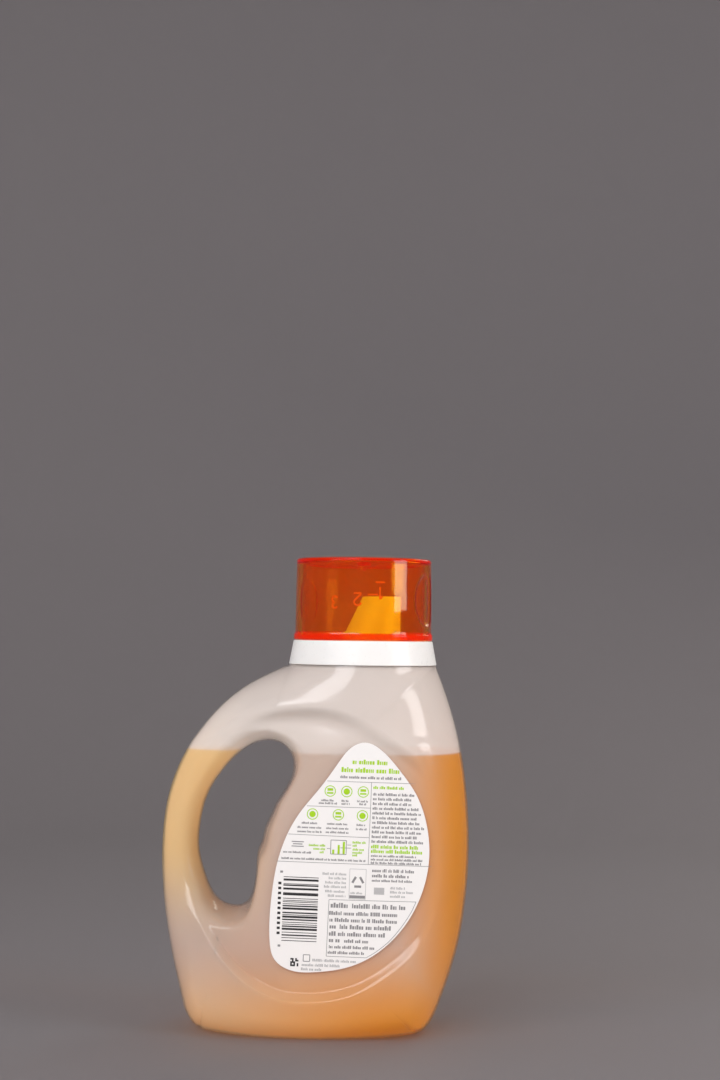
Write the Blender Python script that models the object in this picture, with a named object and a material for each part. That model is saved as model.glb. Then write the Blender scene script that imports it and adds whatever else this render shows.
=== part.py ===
"""A laundry detergent bottle with a through handle, a drain-back spout and a measuring cap.

Metres, +Z up. The origin is the middle of the surface that the bottle stands on.
The handle is towards -X, the spout pours towards +X and the label faces -Y.
"""

import math

import bmesh
import bpy
import numpy as np
from mathutils import Matrix, Vector
from mathutils.geometry import interpolate_bezier

# Clearances
GAP = 0.0003
THREAD_CLEARANCE = 0.0006

# Body
BODY_WIDTH = 0.1672
SHOULDER_HEIGHT = 0.1965
BODY_DEPTH = 0.0900
WALL = 0.0010
FOOT_CORNER = 0.0100
CORNER_FULLNESS = 0.43
FOOT_LAND = 0.0065
PUSH_UP = 0.0030
FOOT_FULLNESS = 2.05
FILL_HEIGHT = 0.1500

# Neck
NECK_X = 0.0245
SHOULDER_RADIUS = 0.0400
NECK_RADIUS = 0.0366
NECK_HEIGHT = 0.0103

# Recess and label panel
PANEL_DEPTH = 0.0032
PANEL_BOW = 0.0040
RECESS_BAND = 0.0060
RECESS_TOP_BAND = 0.0120
RECESS_EDGE = 0.18
RECESS_TOP_EDGE = 0.50
DISH_SLOPE = 0.30
RIDGE_RADIUS = 0.0958
RIDGE_ROUND = 0.0020

# Label film
LABEL_THICKNESS = 0.0002

# Pour fitment
COLLAR_HEIGHT = 0.0131
COLLAR_BOTTOM_RADIUS = 0.04035
COLLAR_TOP_RADIUS = 0.03815
COLLAR_EDGE = 0.0006
FITMENT_WALL = 0.0011
PLUG_DEPTH = 0.0020
FLOOR_THICKNESS = 0.0014
FLOOR_FALL = 0.0020
SPOUT_TOP_HEIGHT = 0.0250
SPOUT_TOP_RADIUS = 0.0107
SPOUT_FOOT_RADIUS = 0.0203
SPOUT_REACH = 0.0235
SPOUT_WALL = 0.0013
SPOUT_SLOT = 0.0070

# Cap
CAP_HEIGHT = 0.0442
CAP_TOP_RADIUS = 0.0369
CAP_WALL = 0.0013
CAP_TOP_WALL = 0.0015
CAP_TOP_EDGE = 0.0015
CAP_SPREAD = 0.0004
FLANGE_RADIUS = 0.0379
FLANGE_HEIGHT = 0.0032
CUP_WALL = 0.0013
CUP_REACH = 0.0118
THUMB_DEPTH = 0.0013
THUMB_HEIGHT = 0.0310
THUMB_HALF_ANGLE = math.radians(20)
THUMB_DIRECTION = math.radians(-22)
THUMB_CENTRE = 0.0220

# Facets
STATIONS = {"neck": 16, "left": 17, "left corner": 4, "base": 12, "right corner": 4, "right": 16}
SECTION_STEPS = {"gap round": 3, "panel": 3, "band": 3, "side": 4, "foot": 3}
ROUND_STEPS = 48
CAP_RINGS = 6
LABEL_STEPS = 56
LABEL_STRIP = 0.0100

# Outlines seen from the label side, as shares of half the width and of the shoulder height
HALF_WIDTH = BODY_WIDTH / 2
HALF_DEPTH = BODY_DEPTH / 2
LEFT_SIDE = (
    (-0.433, 0.953), (-0.695, 0.859), (-0.863, 0.752), (-0.962, 0.641),
    (-1.000, 0.509), (-0.986, 0.359), (-0.932, 0.214), (-0.846, 0.065),
)
BASE_LEFT = (-0.724, 0.0)
BASE_RIGHT = (0.688, 0.0)
RIGHT_SIDE = (
    (0.836, 0.096), (0.921, 0.209), (0.976, 0.336), (1.000, 0.484),
    (0.991, 0.606), (0.945, 0.762), (0.864, 0.900),
)

# Rings round the middle of the handle gap, in the same shares
RING_CENTRE = (-0.478, 0.539)
HANDLE_GAP = (
    (-0.151, 0.725), (-0.166, 0.751), (-0.236, 0.781), (-0.321, 0.788), (-0.438, 0.772),
    (-0.568, 0.726), (-0.696, 0.647), (-0.751, 0.564), (-0.754, 0.475), (-0.699, 0.398),
    (-0.619, 0.344), (-0.527, 0.328), (-0.436, 0.345), (-0.398, 0.386), (-0.375, 0.469),
    (-0.357, 0.505), (-0.335, 0.538), (-0.310, 0.569), (-0.278, 0.600), (-0.237, 0.633),
    (-0.170, 0.683),
)
RECESS = (
    (-0.840, 0.400), (-0.711, 0.286), (-0.583, 0.213), (-0.455, 0.161), (-0.326, 0.128),
    (-0.199, 0.108), (-0.042, 0.102), (0.147, 0.110), (0.335, 0.137), (0.491, 0.179),
    (0.616, 0.224), (0.740, 0.299), (0.830, 0.400), (0.880, 0.520), (0.850, 0.650), (0.715, 0.740),
    (0.510, 0.805), (0.260, 0.870), (-0.102, 0.896), (-0.417, 0.871), (-0.646, 0.791),
    (-0.810, 0.670), (-0.880, 0.520),
)

# Ridge between the label panel and the dish above the gap: an arc about this point
RIDGE_CENTRE = (0.811, 0.393)

# Label outline from its tip, in the same shares
LABEL = (
    (0.319, 0.796), (0.408, 0.779), (0.535, 0.722), (0.638, 0.660), (0.710, 0.573), (0.725, 0.485),
    (0.689, 0.405), (0.597, 0.322), (0.486, 0.265), (0.361, 0.224), (0.205, 0.196), (0.018, 0.184),
    (-0.139, 0.188), (-0.241, 0.217), (-0.271, 0.267), (-0.265, 0.373), (-0.237, 0.458),
    (-0.177, 0.541), (-0.091, 0.607), (0.033, 0.673), (0.157, 0.747), (0.240, 0.786),
)

# Sections by their direction from the middle of the gap, in degrees: the half-depth as a share of
# the greatest, then how far the round at the gap and the round outside reach, as shares of this reach
SECTION_REACH = 0.0400
SECTIONS = (
    (-172, 0.275, 0.245, 0.245), (-150, 0.300, 0.275, 0.288), (-127, 0.420, 0.375, 0.475),
    (-110, 0.660, 0.425, 0.650), (-97, 0.860, 0.375, 0.425), (-84, 0.960, 0.300, 0.325),
    (-65, 1.000, 0.250, 0.325), (-47, 1.000, 0.225, 0.500), (-30, 1.000, 0.225, 0.750),
    (-4, 1.000, 0.250, 0.900), (25, 1.000, 0.275, 0.900), (41, 0.985, 0.325, 0.850),
    (60, 0.950, 0.400, 1.000), (75, 0.820, 0.400, 0.750), (90, 0.580, 0.350, 0.475),
    (110, 0.370, 0.288, 0.338), (140, 0.285, 0.250, 0.275),
)


def clear_scene():
    """Remove every object, so that the model starts from nothing."""
    for item in list(bpy.data.objects):
        bpy.data.objects.remove(item, do_unlink=True)


def plastic(name, colour, roughness, transmission=0.0):
    """A plain plastic of one colour."""
    material = bpy.data.materials.new(name)
    material.use_nodes = True
    shader = material.node_tree.nodes["Principled BSDF"]
    shader.inputs["Base Color"].default_value = (*colour, 1.0)
    shader.inputs["Roughness"].default_value = roughness
    shader.inputs["Metallic"].default_value = 0.0
    shader.inputs["Transmission Weight"].default_value = transmission
    return material


def finish(mesh, name, material, sharp=math.radians(35)):
    """Turn a bmesh into a smooth-shaded object with its material."""
    bmesh.ops.recalc_face_normals(mesh, faces=mesh.faces)
    data = bpy.data.meshes.new(name)
    mesh.to_mesh(data)
    mesh.free()
    data.shade_smooth()
    data.set_sharp_from_angle(angle=sharp)
    item = bpy.data.objects.new(name, data)
    item.data.materials.append(material)
    bpy.context.collection.objects.link(item)
    return item


def place(share):
    """A point of the label side, from its shares to metres."""
    return np.array((share[0] * HALF_WIDTH, share[1] * SHOULDER_HEIGHT))


def natural_spline(knots, values, at):
    """The natural cubic spline through values at knots, read at the given places."""
    knots, values, at = (np.asarray(given, dtype=float) for given in (knots, values, at))
    steps = np.diff(knots)
    count = len(knots)
    matrix = np.eye(count)
    right = np.zeros(count)
    for row in range(1, count - 1):
        matrix[row, row - 1 : row + 2] = steps[row - 1], 2 * (steps[row - 1] + steps[row]), steps[row]
        slopes = np.diff(values[row - 1 : row + 2]) / steps[row - 1 : row + 1]
        right[row] = 6 * (slopes[1] - slopes[0])
    bend = np.linalg.solve(matrix, right)
    cell = np.clip(np.searchsorted(knots, at) - 1, 0, count - 2)
    width = steps[cell]
    after = at - knots[cell]
    before = knots[cell + 1] - at
    curve = (bend[cell] * before**3 + bend[cell + 1] * after**3) / (6 * width)
    start = (values[cell] / width - bend[cell] * width / 6) * before
    end = (values[cell + 1] / width - bend[cell + 1] * width / 6) * after
    return curve + start + end


def path_through(points, steps):
    """Evenly spaced points on the smooth path through the given points."""
    points = np.asarray(points)
    lengths = np.concatenate(([0.0], np.cumsum(np.linalg.norm(np.diff(points, axis=0), axis=1))))
    at = np.linspace(0.0, lengths[-1], steps + 1)
    return np.column_stack([natural_spline(lengths, points[:, axis], at) for axis in (0, 1)])


def closed_path(points, steps):
    """Evenly spaced points on the smooth closed path through the given points."""
    points = np.asarray(points)
    lap = 4
    wrapped = np.concatenate((points[-lap:], points, points[: lap + 1]))
    lengths = np.concatenate(([0.0], np.cumsum(np.linalg.norm(np.diff(wrapped, axis=0), axis=1))))
    at = np.linspace(lengths[lap], lengths[lap + len(points)], steps, endpoint=False)
    return np.column_stack([natural_spline(lengths, wrapped[:, axis], at) for axis in (0, 1)])


def round_trip(angles, values, at):
    """A smooth closed function of direction, given at a few directions in radians."""
    order = np.argsort(angles)
    angles = np.asarray(angles)[order]
    values = np.asarray(values)[order]
    turn = 2 * math.pi
    angles = np.concatenate((angles - turn, angles, angles + turn))
    return natural_spline(angles, np.concatenate((values, values, values)), at)


def ring_radius(shares, at):
    """How far a ring lies from the middle of the handle gap in the given directions."""
    offsets = np.array([place(share) - place(RING_CENTRE) for share in shares])
    angles = np.arctan2(offsets[:, 1], offsets[:, 0])
    return round_trip(angles, np.hypot(offsets[:, 0], offsets[:, 1]), at)


def corner(start, before, end, steps):
    """The round bottom corner from a side, whose last run is given, to the flat of the base."""
    heading = (start - before) / np.linalg.norm(start - before)
    to_base = start + heading * start[1] / abs(heading[1]) * CORNER_FULLNESS
    along = end + np.array((start[0] - end[0], 0.0)) * CORNER_FULLNESS
    knots = [Vector((*point, 0.0)) for point in (start, to_base, along, end)]
    curve = interpolate_bezier(*knots, steps + 1)
    return np.array([(point.x, point.y) for point in curve])


def outline_stations():
    """The body's outline as points, each with the half-width of the flat that ends its section."""
    stations = []
    left = [place(share) for share in LEFT_SIDE]
    right = [place(share) for share in RIGHT_SIDE]
    neck_left = np.array((NECK_X - SHOULDER_RADIUS, SHOULDER_HEIGHT))
    neck_right = np.array((NECK_X + SHOULDER_RADIUS, SHOULDER_HEIGHT))
    for step in range(STATIONS["neck"]):
        turn = math.pi * step / STATIONS["neck"]
        point = np.array((NECK_X + SHOULDER_RADIUS * math.cos(turn), SHOULDER_HEIGHT))
        stations.append((point, SHOULDER_RADIUS * math.sin(turn)))
    left_path = path_through([neck_left, *left], STATIONS["left"])
    stations += [(point, 0.0) for point in left_path[:-1]]
    base_left, base_right = place(BASE_LEFT), place(BASE_RIGHT)
    left_corner = corner(left_path[-1], left_path[-2], base_left, STATIONS["left corner"])
    stations += [(point, 0.0) for point in left_corner[:-1]]
    middle, reach = (base_left + base_right) / 2, (base_right[0] - base_left[0]) / 2
    for step in range(STATIONS["base"]):
        share = -math.cos(math.pi * step / STATIONS["base"])
        point = middle + np.array((reach * share, 0.0))
        stations.append((point, foot_half_depth(point)))
    right_path = path_through([*right, neck_right], STATIONS["right"])
    right_corner = corner(right_path[0], right_path[1], base_right, STATIONS["right corner"])[::-1]
    stations += [(point, 0.0) for point in right_corner[:-1]]
    stations += [(point, 0.0) for point in right_path[:-1]]
    return stations


def section_sizes(point):
    """The half-depth and the two rounds of the section that ends at a point of the outline."""
    offset = point - place(RING_CENTRE)
    direction = math.atan2(offset[1], offset[0])
    angles = [math.radians(row[0]) for row in SECTIONS]
    depth, gap_round, outer_round = (
        float(round_trip(angles, [row[column] for row in SECTIONS], [direction])[0]) for column in (1, 2, 3)
    )
    return min(depth, 1.0) * HALF_DEPTH, gap_round * SECTION_REACH, outer_round * SECTION_REACH


def foot_half_depth(point):
    """Half the depth of the oval foot at a point of the base."""
    left, right = place(BASE_LEFT)[0], place(BASE_RIGHT)[0]
    share = (2 * point[0] - left - right) / (right - left)
    oval = max(0.0, 1.0 - abs(share) ** FOOT_FULLNESS) ** (1 / FOOT_FULLNESS)
    return (section_sizes(np.array((point[0], 0.0)))[0] - FOOT_CORNER) * oval


def ease(value):
    """A smooth rise from 0 to 1."""
    value = min(max(value, 0.0), 1.0)
    return value * value * (3 - 2 * value)


def ramp(value, edge):
    """A rise from 0 to 1, straight between two rounded ends that each take the given share."""
    value = min(max(value, 0.0), 1.0)
    near = min(value, 1.0 - value)
    rise = near * near / (2 * edge) if near < edge else near - edge / 2
    rise /= 1.0 - edge
    return rise if value <= 0.5 else 1.0 - rise


def recess_band(heading):
    """The width of the slope round the recess in a direction, and the share of each rounded end."""
    upwards = ease(heading[1] / math.sin(math.pi / 4))
    width = RECESS_BAND + (RECESS_TOP_BAND - RECESS_BAND) * upwards
    return width, RECESS_EDGE + (RECESS_TOP_EDGE - RECESS_EDGE) * upwards


def panel_depth(x, z):
    """How far the label panel, and the dish beside it, stand from the middle plane."""
    beyond = math.hypot(*(place(RIDGE_CENTRE) - (x, z))) - RIDGE_RADIUS
    fall = 0.5 * (beyond + math.hypot(beyond, RIDGE_ROUND))
    bow = PANEL_BOW * ((x - NECK_X) / HALF_WIDTH) ** 2
    return HALF_DEPTH - PANEL_DEPTH - bow - DISH_SLOPE * fall


def recessed(depth, x, z, share):
    """The half-depth of the face where the recess is cut into it, by how much of the cut is reached."""
    panel = panel_depth(x, z)
    lower = 0.5 * (depth + panel - math.hypot(depth - panel, RIDGE_ROUND))
    return max(0.0, depth + (lower - depth) * share)


def section(point, flat):
    """Half of a section, from the handle gap to the outline, as (x, z, half-depth) points."""
    centre = place(RING_CENTRE)
    offset = point - centre
    end = float(np.hypot(*offset))
    heading = offset / end
    direction = [math.atan2(heading[1], heading[0])]
    start = float(ring_radius(HANDLE_GAP, direction)[0])
    crease = float(ring_radius(RECESS, direction)[0])
    band, edge = recess_band(heading)
    depth, gap_round, outer_round = section_sizes(point)
    fit = min(1.0, 0.97 * (end - start) / (gap_round + outer_round))
    gap_round, outer_round = gap_round * fit, outer_round * fit
    on_neck = (flat / SHOULDER_RADIUS) ** 2 if point[1] > SHOULDER_HEIGHT / 2 else 0.0
    quarter = np.linspace(0.0, math.pi / 2, 16)
    run = [(start + gap_round * (1 - math.cos(turn)), depth * math.sin(turn)) for turn in quarter]
    for turn in quarter:
        rounded = flat + (depth - flat) * math.cos(turn)
        leaning = depth + (flat - depth) * math.sin(turn) ** 2
        run.append((end - outer_round * (1 - math.sin(turn)), rounded + (leaning - rounded) * on_neck))
    run = np.array(run)
    lengths = np.concatenate(([0.0], np.cumsum(np.hypot(*np.diff(run, axis=0).T))))
    total = lengths[-1]
    band_end = float(np.interp(crease, run[:, 0], lengths))
    band_start = float(np.interp(crease - band, run[:, 0], lengths))
    foot = total if flat > 0.0 else total - FOOT_LAND
    band_end = min(max(band_end, 0.45 * foot), 0.80 * foot)
    band_start = min(max(band_start, 0.40 * foot), band_end - 0.08 * foot)
    rounded_to = min(float(np.interp(start + gap_round, run[:, 0], lengths)), 0.7 * band_start)
    at = [
        *np.linspace(0.0, rounded_to, SECTION_STEPS["gap round"], endpoint=False),
        *np.linspace(rounded_to, band_start, SECTION_STEPS["panel"], endpoint=False),
        *np.linspace(band_start, band_end, SECTION_STEPS["band"], endpoint=False),
        *np.linspace(band_end, foot, SECTION_STEPS["side"], endpoint=False),
    ]
    points = []
    for length in at:
        radius = float(np.interp(length, lengths, run[:, 0]))
        half_depth = float(np.interp(length, lengths, run[:, 1]))
        x, z = centre + heading * radius
        points.append((x, z, recessed(half_depth, x, z, ramp((crease - radius) / band, edge))))
    points[0] = (*(centre + heading * start), 0.0)
    if flat > 0.0:
        land = min(FOOT_LAND, 0.5 * flat)
        slope = min(FOOT_LAND, 0.3 * flat)
        points += [(*point, half_depth) for half_depth in (flat, flat - land, flat - land - slope, 0.0)]
    else:
        for length in np.linspace(foot, total, SECTION_STEPS["foot"] + 1):
            radius = float(np.interp(length, lengths, run[:, 0]))
            points.append((*(centre + heading * radius), float(np.interp(length, lengths, run[:, 1]))))
        points[-1] = (*point, 0.0)
    return points


def body_skin():
    """The closed skin of the body: a grid wrapped round the handle gap, its neck still shut."""
    sections = [section(*station) for station in outline_stations()]
    half_steps = sum(SECTION_STEPS.values())
    mesh = bmesh.new()
    bmesh.ops.create_grid(mesh, x_segments=len(sections), y_segments=2 * half_steps, size=1.0)
    for vertex in mesh.verts:
        station = round((vertex.co.x + 1) / 2 * len(sections)) % len(sections)
        step = round((vertex.co.y + 1) / 2 * 2 * half_steps)
        x, z, half_depth = sections[station][min(step, 2 * half_steps - step)]
        vertex.co = (x, -half_depth if step <= half_steps else half_depth, z)
    bmesh.ops.remove_doubles(mesh, verts=mesh.verts, dist=1e-7)
    left, right = place(BASE_LEFT)[0], place(BASE_RIGHT)[0]
    for vertex in (item for item in mesh.verts if abs(item.co.z) < 1e-7):
        inside = min(foot_half_depth(vertex.co) - abs(vertex.co.y), vertex.co.x - left, right - vertex.co.x)
        vertex.co.z = PUSH_UP * ease(inside / FOOT_LAND - 1.0)
    bmesh.ops.triangulate(mesh, faces=mesh.faces)
    bmesh.ops.recalc_face_normals(mesh, faces=mesh.faces)
    return mesh


def pushed_inwards(mesh, depth):
    """Move a skin's points inwards, square to its faces."""
    mesh.normal_update()
    moves = [(vertex, vertex.normal * depth * min(vertex.calc_shell_factor(), 1.5)) for vertex in mesh.verts]
    for vertex, move in moves:
        vertex.co -= move


def open_neck(mesh):
    """Take out the disc that shuts the neck, and return the edges round it."""
    disc = [
        face for face in mesh.faces
        if all(abs(vertex.co.z - SHOULDER_HEIGHT) < 1e-6 for vertex in face.verts)
    ]
    bmesh.ops.delete(mesh, geom=disc, context="FACES")
    return [edge for edge in mesh.edges if edge.is_boundary]


def raised_ring(mesh, edges, radius, height):
    """Extrude a ring of edges round the neck's axis to another radius and height."""
    made = bmesh.ops.extrude_edge_only(mesh, edges=edges)["geom"]
    for vertex in (item for item in made if isinstance(item, bmesh.types.BMVert)):
        away = Vector((vertex.co.x - NECK_X, vertex.co.y)).normalized() * radius
        vertex.co = (NECK_X + away.x, away.y, height)
    return [item for item in made if isinstance(item, bmesh.types.BMEdge)]


def make_bottle(material):
    """The blown shell: outer skin, neck and inner skin, joined at the rim."""
    mesh = body_skin()
    ring = open_neck(mesh)
    ring = raised_ring(mesh, ring, NECK_RADIUS, SHOULDER_HEIGHT)
    ring = raised_ring(mesh, ring, NECK_RADIUS, SHOULDER_HEIGHT + NECK_HEIGHT)
    bmesh.ops.recalc_face_normals(mesh, faces=mesh.faces)
    if max(mesh.faces, key=lambda face: face.calc_center_median().x).normal.x < 0:
        bmesh.ops.reverse_faces(mesh, faces=mesh.faces)
    inner = mesh.copy()
    pushed_inwards(inner, WALL)
    bmesh.ops.reverse_faces(inner, faces=inner.faces)
    inner_data = bpy.data.meshes.new("bottle inside")
    inner.to_mesh(inner_data)
    inner.free()
    mesh.from_mesh(inner_data)
    bpy.data.meshes.remove(inner_data)
    bmesh.ops.bridge_loops(mesh, edges=[edge for edge in mesh.edges if edge.is_boundary])
    return finish(mesh, "bottle", material)


def make_detergent(material):
    """The liquid, a small gap inside the wall, cut level."""
    mesh = body_skin()
    pushed_inwards(mesh, WALL + GAP)
    bmesh.ops.bisect_plane(
        mesh, geom=[*mesh.verts, *mesh.edges, *mesh.faces], dist=1e-7,
        plane_co=(0.0, 0.0, FILL_HEIGHT), plane_no=(0.0, 0.0, 1.0), clear_outer=True,
    )
    bmesh.ops.holes_fill(mesh, edges=[edge for edge in mesh.edges if edge.is_boundary], sides=0)
    bmesh.ops.triangulate(mesh, faces=[face for face in mesh.faces if len(face.verts) > 4])
    return finish(mesh, "detergent", material)


def make_label(material):
    """The printed film, which follows the label panel."""
    outline = closed_path([place(share) for share in LABEL], LABEL_STEPS)
    mesh = bmesh.new()
    rim = [mesh.verts.new((x, 0.0, z)) for x, z in outline]
    mesh.faces.new(rim)
    for x in np.arange(outline[:, 0].min(), outline[:, 0].max(), LABEL_STRIP)[1:]:
        bmesh.ops.bisect_plane(
            mesh, geom=[*mesh.verts, *mesh.edges, *mesh.faces], plane_co=(x, 0.0, 0.0), plane_no=(1.0, 0.0, 0.0),
        )
    bmesh.ops.triangulate(mesh, faces=mesh.faces)
    for vertex in mesh.verts:
        vertex.co.y = -panel_depth(vertex.co.x, vertex.co.z) - GAP
    film = bmesh.ops.extrude_face_region(mesh, geom=mesh.faces[:])["geom"]
    for vertex in (item for item in film if isinstance(item, bmesh.types.BMVert)):
        vertex.co.y -= LABEL_THICKNESS
    return finish(mesh, "label", material)


def turned(profile, steps=ROUND_STEPS):
    """A closed ring or solid, from a closed profile of (radius, height) turned about the neck's axis."""
    mesh = bmesh.new()
    verts = [mesh.verts.new((radius, 0.0, height)) for radius, height in profile]
    edges = [mesh.edges.new((verts[row], verts[(row + 1) % len(verts)])) for row in range(len(verts))]
    on_axis = [edge for edge in edges if all(abs(vertex.co.x) < 1e-9 for vertex in edge.verts)]
    bmesh.ops.delete(mesh, geom=on_axis, context="EDGES")
    bmesh.ops.spin(
        mesh, geom=[*mesh.verts, *mesh.edges], cent=(0.0, 0.0, 0.0), axis=(0.0, 0.0, 1.0),
        angle=2 * math.pi, steps=steps, use_merge=True,
    )
    bmesh.ops.remove_doubles(mesh, verts=mesh.verts, dist=1e-6)
    bmesh.ops.translate(mesh, verts=mesh.verts, vec=(NECK_X, 0.0, 0.0))
    bmesh.ops.recalc_face_normals(mesh, faces=mesh.faces)
    return mesh


def combine(item, cutter, operation):
    """Join a second object to the first, or cut it away, and drop the second."""
    modifier = item.modifiers.new("shape", "BOOLEAN")
    modifier.operation = operation
    modifier.solver = "EXACT"
    modifier.object = cutter
    bpy.context.view_layer.update()
    evaluated = item.evaluated_get(bpy.context.evaluated_depsgraph_get())
    data = bpy.data.meshes.new_from_object(evaluated)
    item.modifiers.clear()
    old = item.data
    item.data = data
    bpy.data.meshes.remove(old)
    bpy.data.objects.remove(cutter, do_unlink=True)


def leaning_cone(name, bottom, top, low_radius, high_radius, reach, material):
    """A cone whose pouring side stands upright at a set reach from the neck's axis."""
    mesh = bmesh.new()
    bmesh.ops.create_cone(
        mesh, cap_ends=True, segments=ROUND_STEPS // 2, radius1=low_radius, radius2=high_radius, depth=top - bottom,
    )
    for vertex in mesh.verts:
        high = vertex.co.z > 0
        vertex.co.x += NECK_X + reach - (high_radius if high else low_radius)
        vertex.co.z += (bottom + top) / 2
    return finish(mesh, name, material)


def make_fitment(material):
    """The white moulding: collar, plug ring and floor in one turned piece, with the spout through it."""
    collar_bottom = SHOULDER_HEIGHT + GAP
    top = SHOULDER_HEIGHT + COLLAR_HEIGHT + GAP
    rim = SHOULDER_HEIGHT + NECK_HEIGHT + GAP
    plug_outside = NECK_RADIUS - WALL - GAP
    plug_inside = plug_outside - FITMENT_WALL
    skirt_inside = NECK_RADIUS + GAP
    flare = COLLAR_BOTTOM_RADIUS - COLLAR_TOP_RADIUS
    floor = SHOULDER_HEIGHT - PLUG_DEPTH
    ring = finish(turned((
        (COLLAR_BOTTOM_RADIUS, collar_bottom),
        (COLLAR_TOP_RADIUS, top - COLLAR_EDGE),
        (COLLAR_TOP_RADIUS - COLLAR_EDGE, top),
        (plug_inside, top),
        (plug_inside, floor + FLOOR_THICKNESS),
        (0.0, floor + FLOOR_THICKNESS - FLOOR_FALL),
        (0.0, floor - FLOOR_FALL),
        (plug_outside, floor),
        (plug_outside, rim),
        (skirt_inside, rim),
        (skirt_inside + flare, collar_bottom),
    )), "pour_fitment", material)
    foot = floor - FLOOR_FALL
    lip = SHOULDER_HEIGHT + COLLAR_HEIGHT + SPOUT_TOP_HEIGHT
    lean = (SPOUT_FOOT_RADIUS - SPOUT_TOP_RADIUS) / (lip - foot)
    over = 2 * FLOOR_THICKNESS
    spout = leaning_cone("spout", foot, lip, SPOUT_FOOT_RADIUS, SPOUT_TOP_RADIUS, SPOUT_REACH, material)
    combine(ring, spout, "UNION")
    bore = leaning_cone(
        "bore", foot - over, lip + over, SPOUT_FOOT_RADIUS - SPOUT_WALL + lean * over,
        SPOUT_TOP_RADIUS - SPOUT_WALL - lean * over, SPOUT_REACH - SPOUT_WALL, material,
    )
    combine(ring, bore, "DIFFERENCE")
    slot = bmesh.new()
    bmesh.ops.create_cube(slot, size=1.0)
    slot_top, slot_foot = lip + over, floor + FLOOR_THICKNESS
    middle = NECK_X + SPOUT_REACH - SPOUT_TOP_RADIUS
    far = NECK_X + SPOUT_REACH - 2 * SPOUT_FOOT_RADIUS - over
    bmesh.ops.scale(slot, verts=slot.verts, vec=(middle - far, SPOUT_SLOT, slot_top - slot_foot))
    bmesh.ops.translate(slot, verts=slot.verts, vec=((middle + far) / 2, 0.0, (slot_top + slot_foot) / 2))
    combine(ring, finish(slot, "slot", material), "DIFFERENCE")
    return ring


def thumb_dent(x, y, height):
    """How deep the two oval thumb grips are at a point of the cap's outer wall, as a share."""
    direction = math.atan2(y, x)
    share = 0.0
    for facing in (THUMB_DIRECTION, THUMB_DIRECTION + math.pi):
        turn = (direction - facing + math.pi) % (2 * math.pi) - math.pi
        far = math.hypot(turn / THUMB_HALF_ANGLE, (height - THUMB_CENTRE) / (THUMB_HEIGHT / 2))
        share = max(share, 1.0 - min(far, 1.0) ** 2)
    return math.sqrt(share)


def make_cap(material):
    """The cap: an outer wall with a flange and thumb grips, and the measuring cup inside it."""
    seat = SHOULDER_HEIGHT + COLLAR_HEIGHT + 2 * GAP
    top = seat + CAP_HEIGHT
    cup_outside = NECK_RADIUS - WALL - GAP - FITMENT_WALL - THREAD_CLEARANCE
    foot_radius = CAP_TOP_RADIUS + CAP_SPREAD
    flange_top = seat + FLANGE_HEIGHT
    heights = np.linspace(flange_top + 0.001, top - CAP_TOP_EDGE, CAP_RINGS)
    shares = (heights - heights[0]) / (heights[-1] - heights[0])
    outer = [(foot_radius + (CAP_TOP_RADIUS - foot_radius) * share, height) for share, height in zip(shares, heights)]
    inner = [(radius - CAP_WALL, height) for radius, height in outer]
    inner[-1] = (inner[-1][0], top - CAP_TOP_WALL - CAP_TOP_EDGE)
    edge = [
        (CAP_TOP_RADIUS - CAP_TOP_EDGE * (1 - math.cos(turn)), top - CAP_TOP_EDGE * (1 - math.sin(turn)))
        for turn in (math.pi / 4, math.pi / 2)
    ]
    mesh = turned((
        (0.0, top),
        *edge[::-1],
        *outer[::-1],
        (FLANGE_RADIUS, flange_top),
        (FLANGE_RADIUS, seat),
        (foot_radius - CAP_WALL, seat),
        *inner,
        (cup_outside, inner[-1][1]),
        (cup_outside, seat - CUP_REACH),
        (cup_outside - CUP_WALL, seat - CUP_REACH),
        (cup_outside - CUP_WALL, top - CAP_TOP_WALL),
        (0.0, top - CAP_TOP_WALL),
    ))
    for vertex in mesh.verts:
        x, y = vertex.co.x - NECK_X, vertex.co.y
        radius = math.hypot(x, y)
        on_wall = radius > foot_radius - CAP_WALL - CAP_SPREAD - GAP and radius < FLANGE_RADIUS - GAP
        if on_wall and flange_top < vertex.co.z < top - CAP_TOP_EDGE:
            shrink = 1.0 - THUMB_DEPTH * thumb_dent(x, y, vertex.co.z - seat) / radius
            vertex.co.x, vertex.co.y = NECK_X + x * shrink, y * shrink
    return finish(mesh, "cap", material)


def main():
    """Build the five pieces where they belong, the cap on its stop."""
    clear_scene()
    make_bottle(plastic("milky polyethylene", (0.80, 0.76, 0.72), 0.35, transmission=0.6))
    make_detergent(plastic("amber liquid", (0.62, 0.32, 0.10), 0.10, transmission=0.8))
    make_label(plastic("printed film", (0.92, 0.91, 0.89), 0.45))
    make_fitment(plastic("white polypropylene", (0.90, 0.89, 0.87), 0.40))
    cap = make_cap(plastic("tinted clear polypropylene", (0.85, 0.12, 0.01), 0.12, transmission=0.8))
    cap.data.transform(Matrix.Translation((-NECK_X, 0.0, 0.0)))
    cap.location = (NECK_X, 0.0, 0.0)


main()
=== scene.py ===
"""Looks of a laundry detergent bottle.

It has a milky blown shell, amber liquid, a printed film, a white pour fitment and a tinted cap. Every piece
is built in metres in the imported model's own frame, +Z up, with the label towards -Y, the handle towards -X
and the pouring side towards +X.
"""

import logging
import math
from collections.abc import Iterable, Sequence
from dataclasses import dataclass, field
from enum import Enum
from functools import cached_property
from random import Random

import bmesh
import bpy
import numpy as np
from mathutils import Matrix, Vector
from mathutils.geometry import interpolate_bezier

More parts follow.
